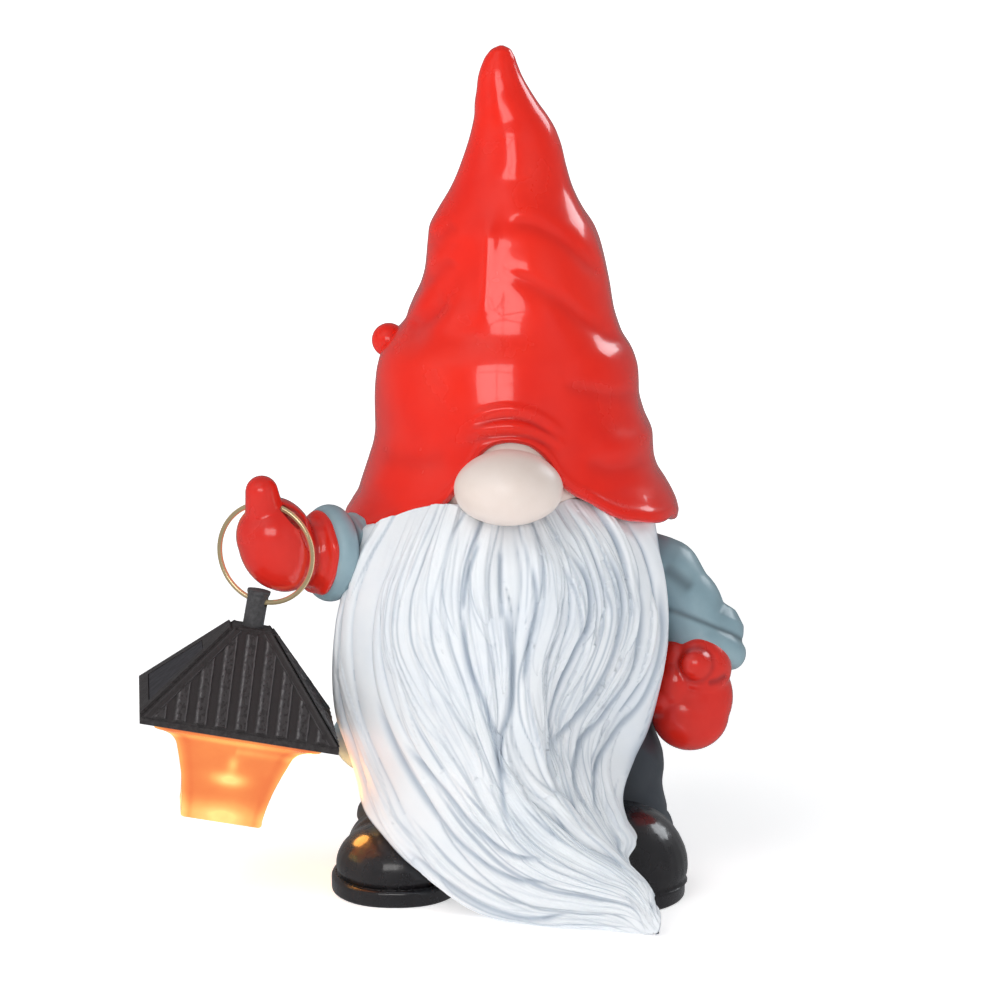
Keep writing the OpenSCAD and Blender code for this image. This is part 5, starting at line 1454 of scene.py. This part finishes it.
def build_lens():
    """Square tapering lens with slightly rounded corners, open at the top, closed at the bottom."""
    ns = 44                                                 # points along one side

    def ring(depth, hw, rnd_):
        pts, side = [], []
        for q in range(4):
            c, s = round(math.cos(math.radians(90 * q))), round(math.sin(math.radians(90 * q)))
            for a in np.linspace(-1, 1, ns, endpoint=False):
                t = a * hw
                d = min(hw - abs(t), rnd_)
                inset = rnd_ - math.sqrt(max(0.0, rnd_ ** 2 - (rnd_ - d) ** 2)) if rnd_ > 0.01 else 0
                pts.append([c * (hw - inset * 0.6) - s * t, s * (hw - inset * 0.6) + c * t, Z_CB - depth])
                side.append([a, q])
        return np.array(pts), np.array(side)

    rings, glow = [], []

    def put(depth, hw, rnd_, outer):
        p, sd = ring(depth, hw, rnd_)
        rings.append(p)
        a = sd[:, 0]
        f = depth / 29.0
        # painted light on each face: a bright spot with a stem of light above it, a brighter bottom, bright bands near
        # the top, bright corners with a darker line just inside them
        spot = np.exp(-((a - 0.02) / 0.36) ** 2 - ((depth - 15.5) / 2.2) ** 2)
        stem = np.exp(-((a - 0.02) / 0.10) ** 2 - ((depth - 10.5) / 2.6) ** 2) * 0.55
        bottom = smooth01((depth - 20) / 7.5) * (0.62 + 0.38 * np.exp(-(a / 0.5) ** 2)) * 0.95
        bottom = bottom + 0.25 * np.exp(-((a - 0.05) / 0.3) ** 2 - ((depth - 26.6) / 1.4) ** 2)
        top = 0.36 * np.exp(-((depth - 3.4) / 1.0) ** 2) + 0.25 * np.exp(-((depth - 6.2) / 1.2) ** 2) * (a > 0)
        edges = 0.50 * np.exp(-((1 - np.abs(a)) / 0.10) ** 2) - 0.22 * np.exp(-((0.80 - np.abs(a)) / 0.05) ** 2)
        cheek = 0.13 + 0.08 * np.cos(a * 3.0)
        glow.append(np.clip(cheek + 0.95 * spot + stem + bottom * 0.88 + top + edges * (1 - 0.4 * f), 0, 1.0) if outer else np.full(len(a), 0.55))

    lens_t = np.asarray(LENS)
    levels = np.unique(np.concatenate([lens_t[:, 0], np.linspace(0.3, 29, 90)]))
    put(29.0, 0.3, 0.0, True)
    for hw in (4.0, 8.0, 10.8):
        put(29.0, hw, 0.0, True)
    for d in levels[::-1]:
        put(d, float(tab(LENS, np.array([d]), 1)[0]), 0.9, True)
    n_out = len(rings)
    for d, hw in LENS_IN[::-1]:
        put(d, hw, 0.4 if hw > 5 else 0.0, False)
    n = ns * 4
    f = grid_faces(len(rings), n)
    f.append(list(range(n))[::-1])
    f.append(list(range((len(rings) - 1) * n, len(rings) * n)))
    ob = add_mesh("lens_amber", lan(np.concatenate(rings)), f, "lens", ["lens"], mat=lens_mat())
    add_attr(ob, "glow", np.concatenate(glow))
    bm = bmesh.new()
    bm.from_mesh(ob.data)
    bmesh.ops.recalc_face_normals(bm, faces=bm.faces)
    bm.to_mesh(ob.data)
    bm.free()
    return ob


build_lens()

# ------------------------------------------------------------------ floor and light

floor_me = bpy.data.meshes.new("floor")
floor_me.from_pydata([(-8, -6, 0), (8, -6, 0), (8, 10, 0), (-8, 10, 0)], [], [(0, 1, 2, 3)])
floor = bpy.data.objects.new("floor", floor_me)
bpy.context.scene.collection.objects.link(floor)
fm, fnt, fb = new_mat("floor_white")
fb.inputs["Base Color"].default_value = (0.90, 0.90, 0.90, 1)
fb.inputs["Roughness"].default_value = 0.9
fb.inputs["Specular IOR Level"].default_value = 0.1
ftc = nd(fnt, "ShaderNodeTexCoord")
fsx = nd(fnt, "ShaderNodeVectorMath", operation="LENGTH")
fnt.links.new(ftc.outputs["Object"], fsx.inputs[0])
fmr = nd(fnt, "ShaderNodeMapRange", inputs={"From Min": 0.25, "From Max": 1.3, "To Min": 0.55, "To Max": 1.05})
fmr.interpolation_type = "SMOOTHSTEP"
fnt.links.new(fsx.outputs["Value"], fmr.inputs["Value"])
fnt.links.new(fmr.outputs["Result"], fb.inputs["Emission Strength"])
fb.inputs["Emission Color"].default_value = (1, 1, 1, 1)
floor_me.materials.append(fm)
floor.visible_glossy = False

# a pale wall far behind the floor, all the way round, seen but lighting nothing
wall_v, wall_n = [], 96
for z in (-0.02, 6.0):
    for i in range(wall_n):
        a = 2 * math.pi * i / wall_n
        wall_v.append((5.6 * math.cos(a), 5.6 * math.sin(a), z))
wall_me = bpy.data.meshes.new("backdrop")
wall_me.from_pydata(wall_v, [], grid_faces(2, wall_n))
wall = bpy.data.objects.new("backdrop", wall_me)
bpy.context.scene.collection.objects.link(wall)
wm, wnt, wb = new_mat("backdrop_white")
wb.inputs["Base Color"].default_value = (0, 0, 0, 1)
wb.inputs["Specular IOR Level"].default_value = 0.0
wb.inputs["Emission Color"].default_value = (1, 1, 1, 1)
wb.inputs["Emission Strength"].default_value = 1.0
wall_me.materials.append(wm)
wall.visible_glossy = False
wall.visible_diffuse = False
wall.visible_shadow = False

world = bpy.data.worlds.new("world")
bpy.context.scene.world = world
world.use_nodes = True
world.node_tree.nodes["Background"].inputs["Color"].default_value = (0.95, 0.97, 1.0, 1)
world.node_tree.nodes["Background"].inputs["Strength"].default_value = 0.20


def area(name, loc, target, size, power, colour=(1, 1, 1), size_y=None):
    ld = bpy.data.lights.new(name, "AREA")
    ld.energy = power
    ld.color = colour
    ld.size = size
    if size_y:
        ld.shape = "RECTANGLE"
        ld.size_y = size_y
    ob = bpy.data.objects.new(name, ld)
    bpy.context.scene.collection.objects.link(ob)
    ob.location = loc
    ob.rotation_euler = (Vector(target) - Vector(loc)).to_track_quat("-Z", "Y").to_euler()
    return ob


# a four-pane window in front, and soft light from high up on the left
WIN = Vector((-0.20, -1.25, 0.66))
wq = (Vector((0.0, 0.0, 0.17)) - WIN).to_track_quat("-Z", "Y")
for i in (-1, 1):
    for j in (-1, 1):
        loc = WIN + wq @ Vector((0.20 * i, 0.125 * j, 0))
        pane = area("window_%d%d" % (i + 1, j + 1), loc, loc + wq @ Vector((0, 0, -1)), 0.38, 1.0, (1.0, 0.985, 0.97), 0.23)
        pane.data.energy = 0.78
for nm, loc, size, power, col in [
        ("key", (-0.75, -0.85, 1.55), 1.2, 11.5, (1.0, 0.985, 0.96)),
        ("right_front", (1.1, -1.2, 0.7), 0.9, 3.2, (0.95, 0.975, 1.0)),
        ("left_side", (-1.4, -0.5, 0.75), 0.8, 4.0, (1.0, 0.98, 0.95)),
        ("back_right", (1.1, 0.8, 0.9), 0.6, 4.0, (0.92, 0.96, 1.0)),
        ("back_left", (-0.8, 1.2, 0.9), 0.6, 3.0, (0.96, 0.98, 1.0))]:
    lo_ = area(nm, loc, (0.0, 0, 0.12), size, power, col)
    lo_.visible_glossy = nm == "back_right"

# warm light thrown by the lantern on what is beside it
led_c = (LED_LO + LED_HI) / 2
glow = bpy.data.lights.new("lantern_glow", "POINT")
glow.energy = 0.040
glow.color = (1.0, 0.52, 0.16)
glow.shadow_soft_size = 0.008
glow_ob = bpy.data.objects.new("lantern_glow", glow)
bpy.context.scene.collection.objects.link(glow_ob)
glow_ob.location = (float(led_c[0]), float(led_c[1]), float(LED_LO[2] - 0.006))

spill = bpy.data.lights.new("lantern_spill", "POINT")
spill.energy = 0.016
spill.color = (1.0, 0.42, 0.08)
spill.shadow_soft_size = 0.006
spill_ob = bpy.data.objects.new("lantern_spill", spill)
bpy.context.scene.collection.objects.link(spill_ob)
sp = from_front(322.0, 786.0, -22.0)
spill_ob.location = ((float(sp[0]) + OX) / 1000, (float(sp[1]) + OY) / 1000, float(sp[2]) / 1000)
spill_ob.visible_camera = False

bpy.context.scene.view_settings.view_transform = "Standard"
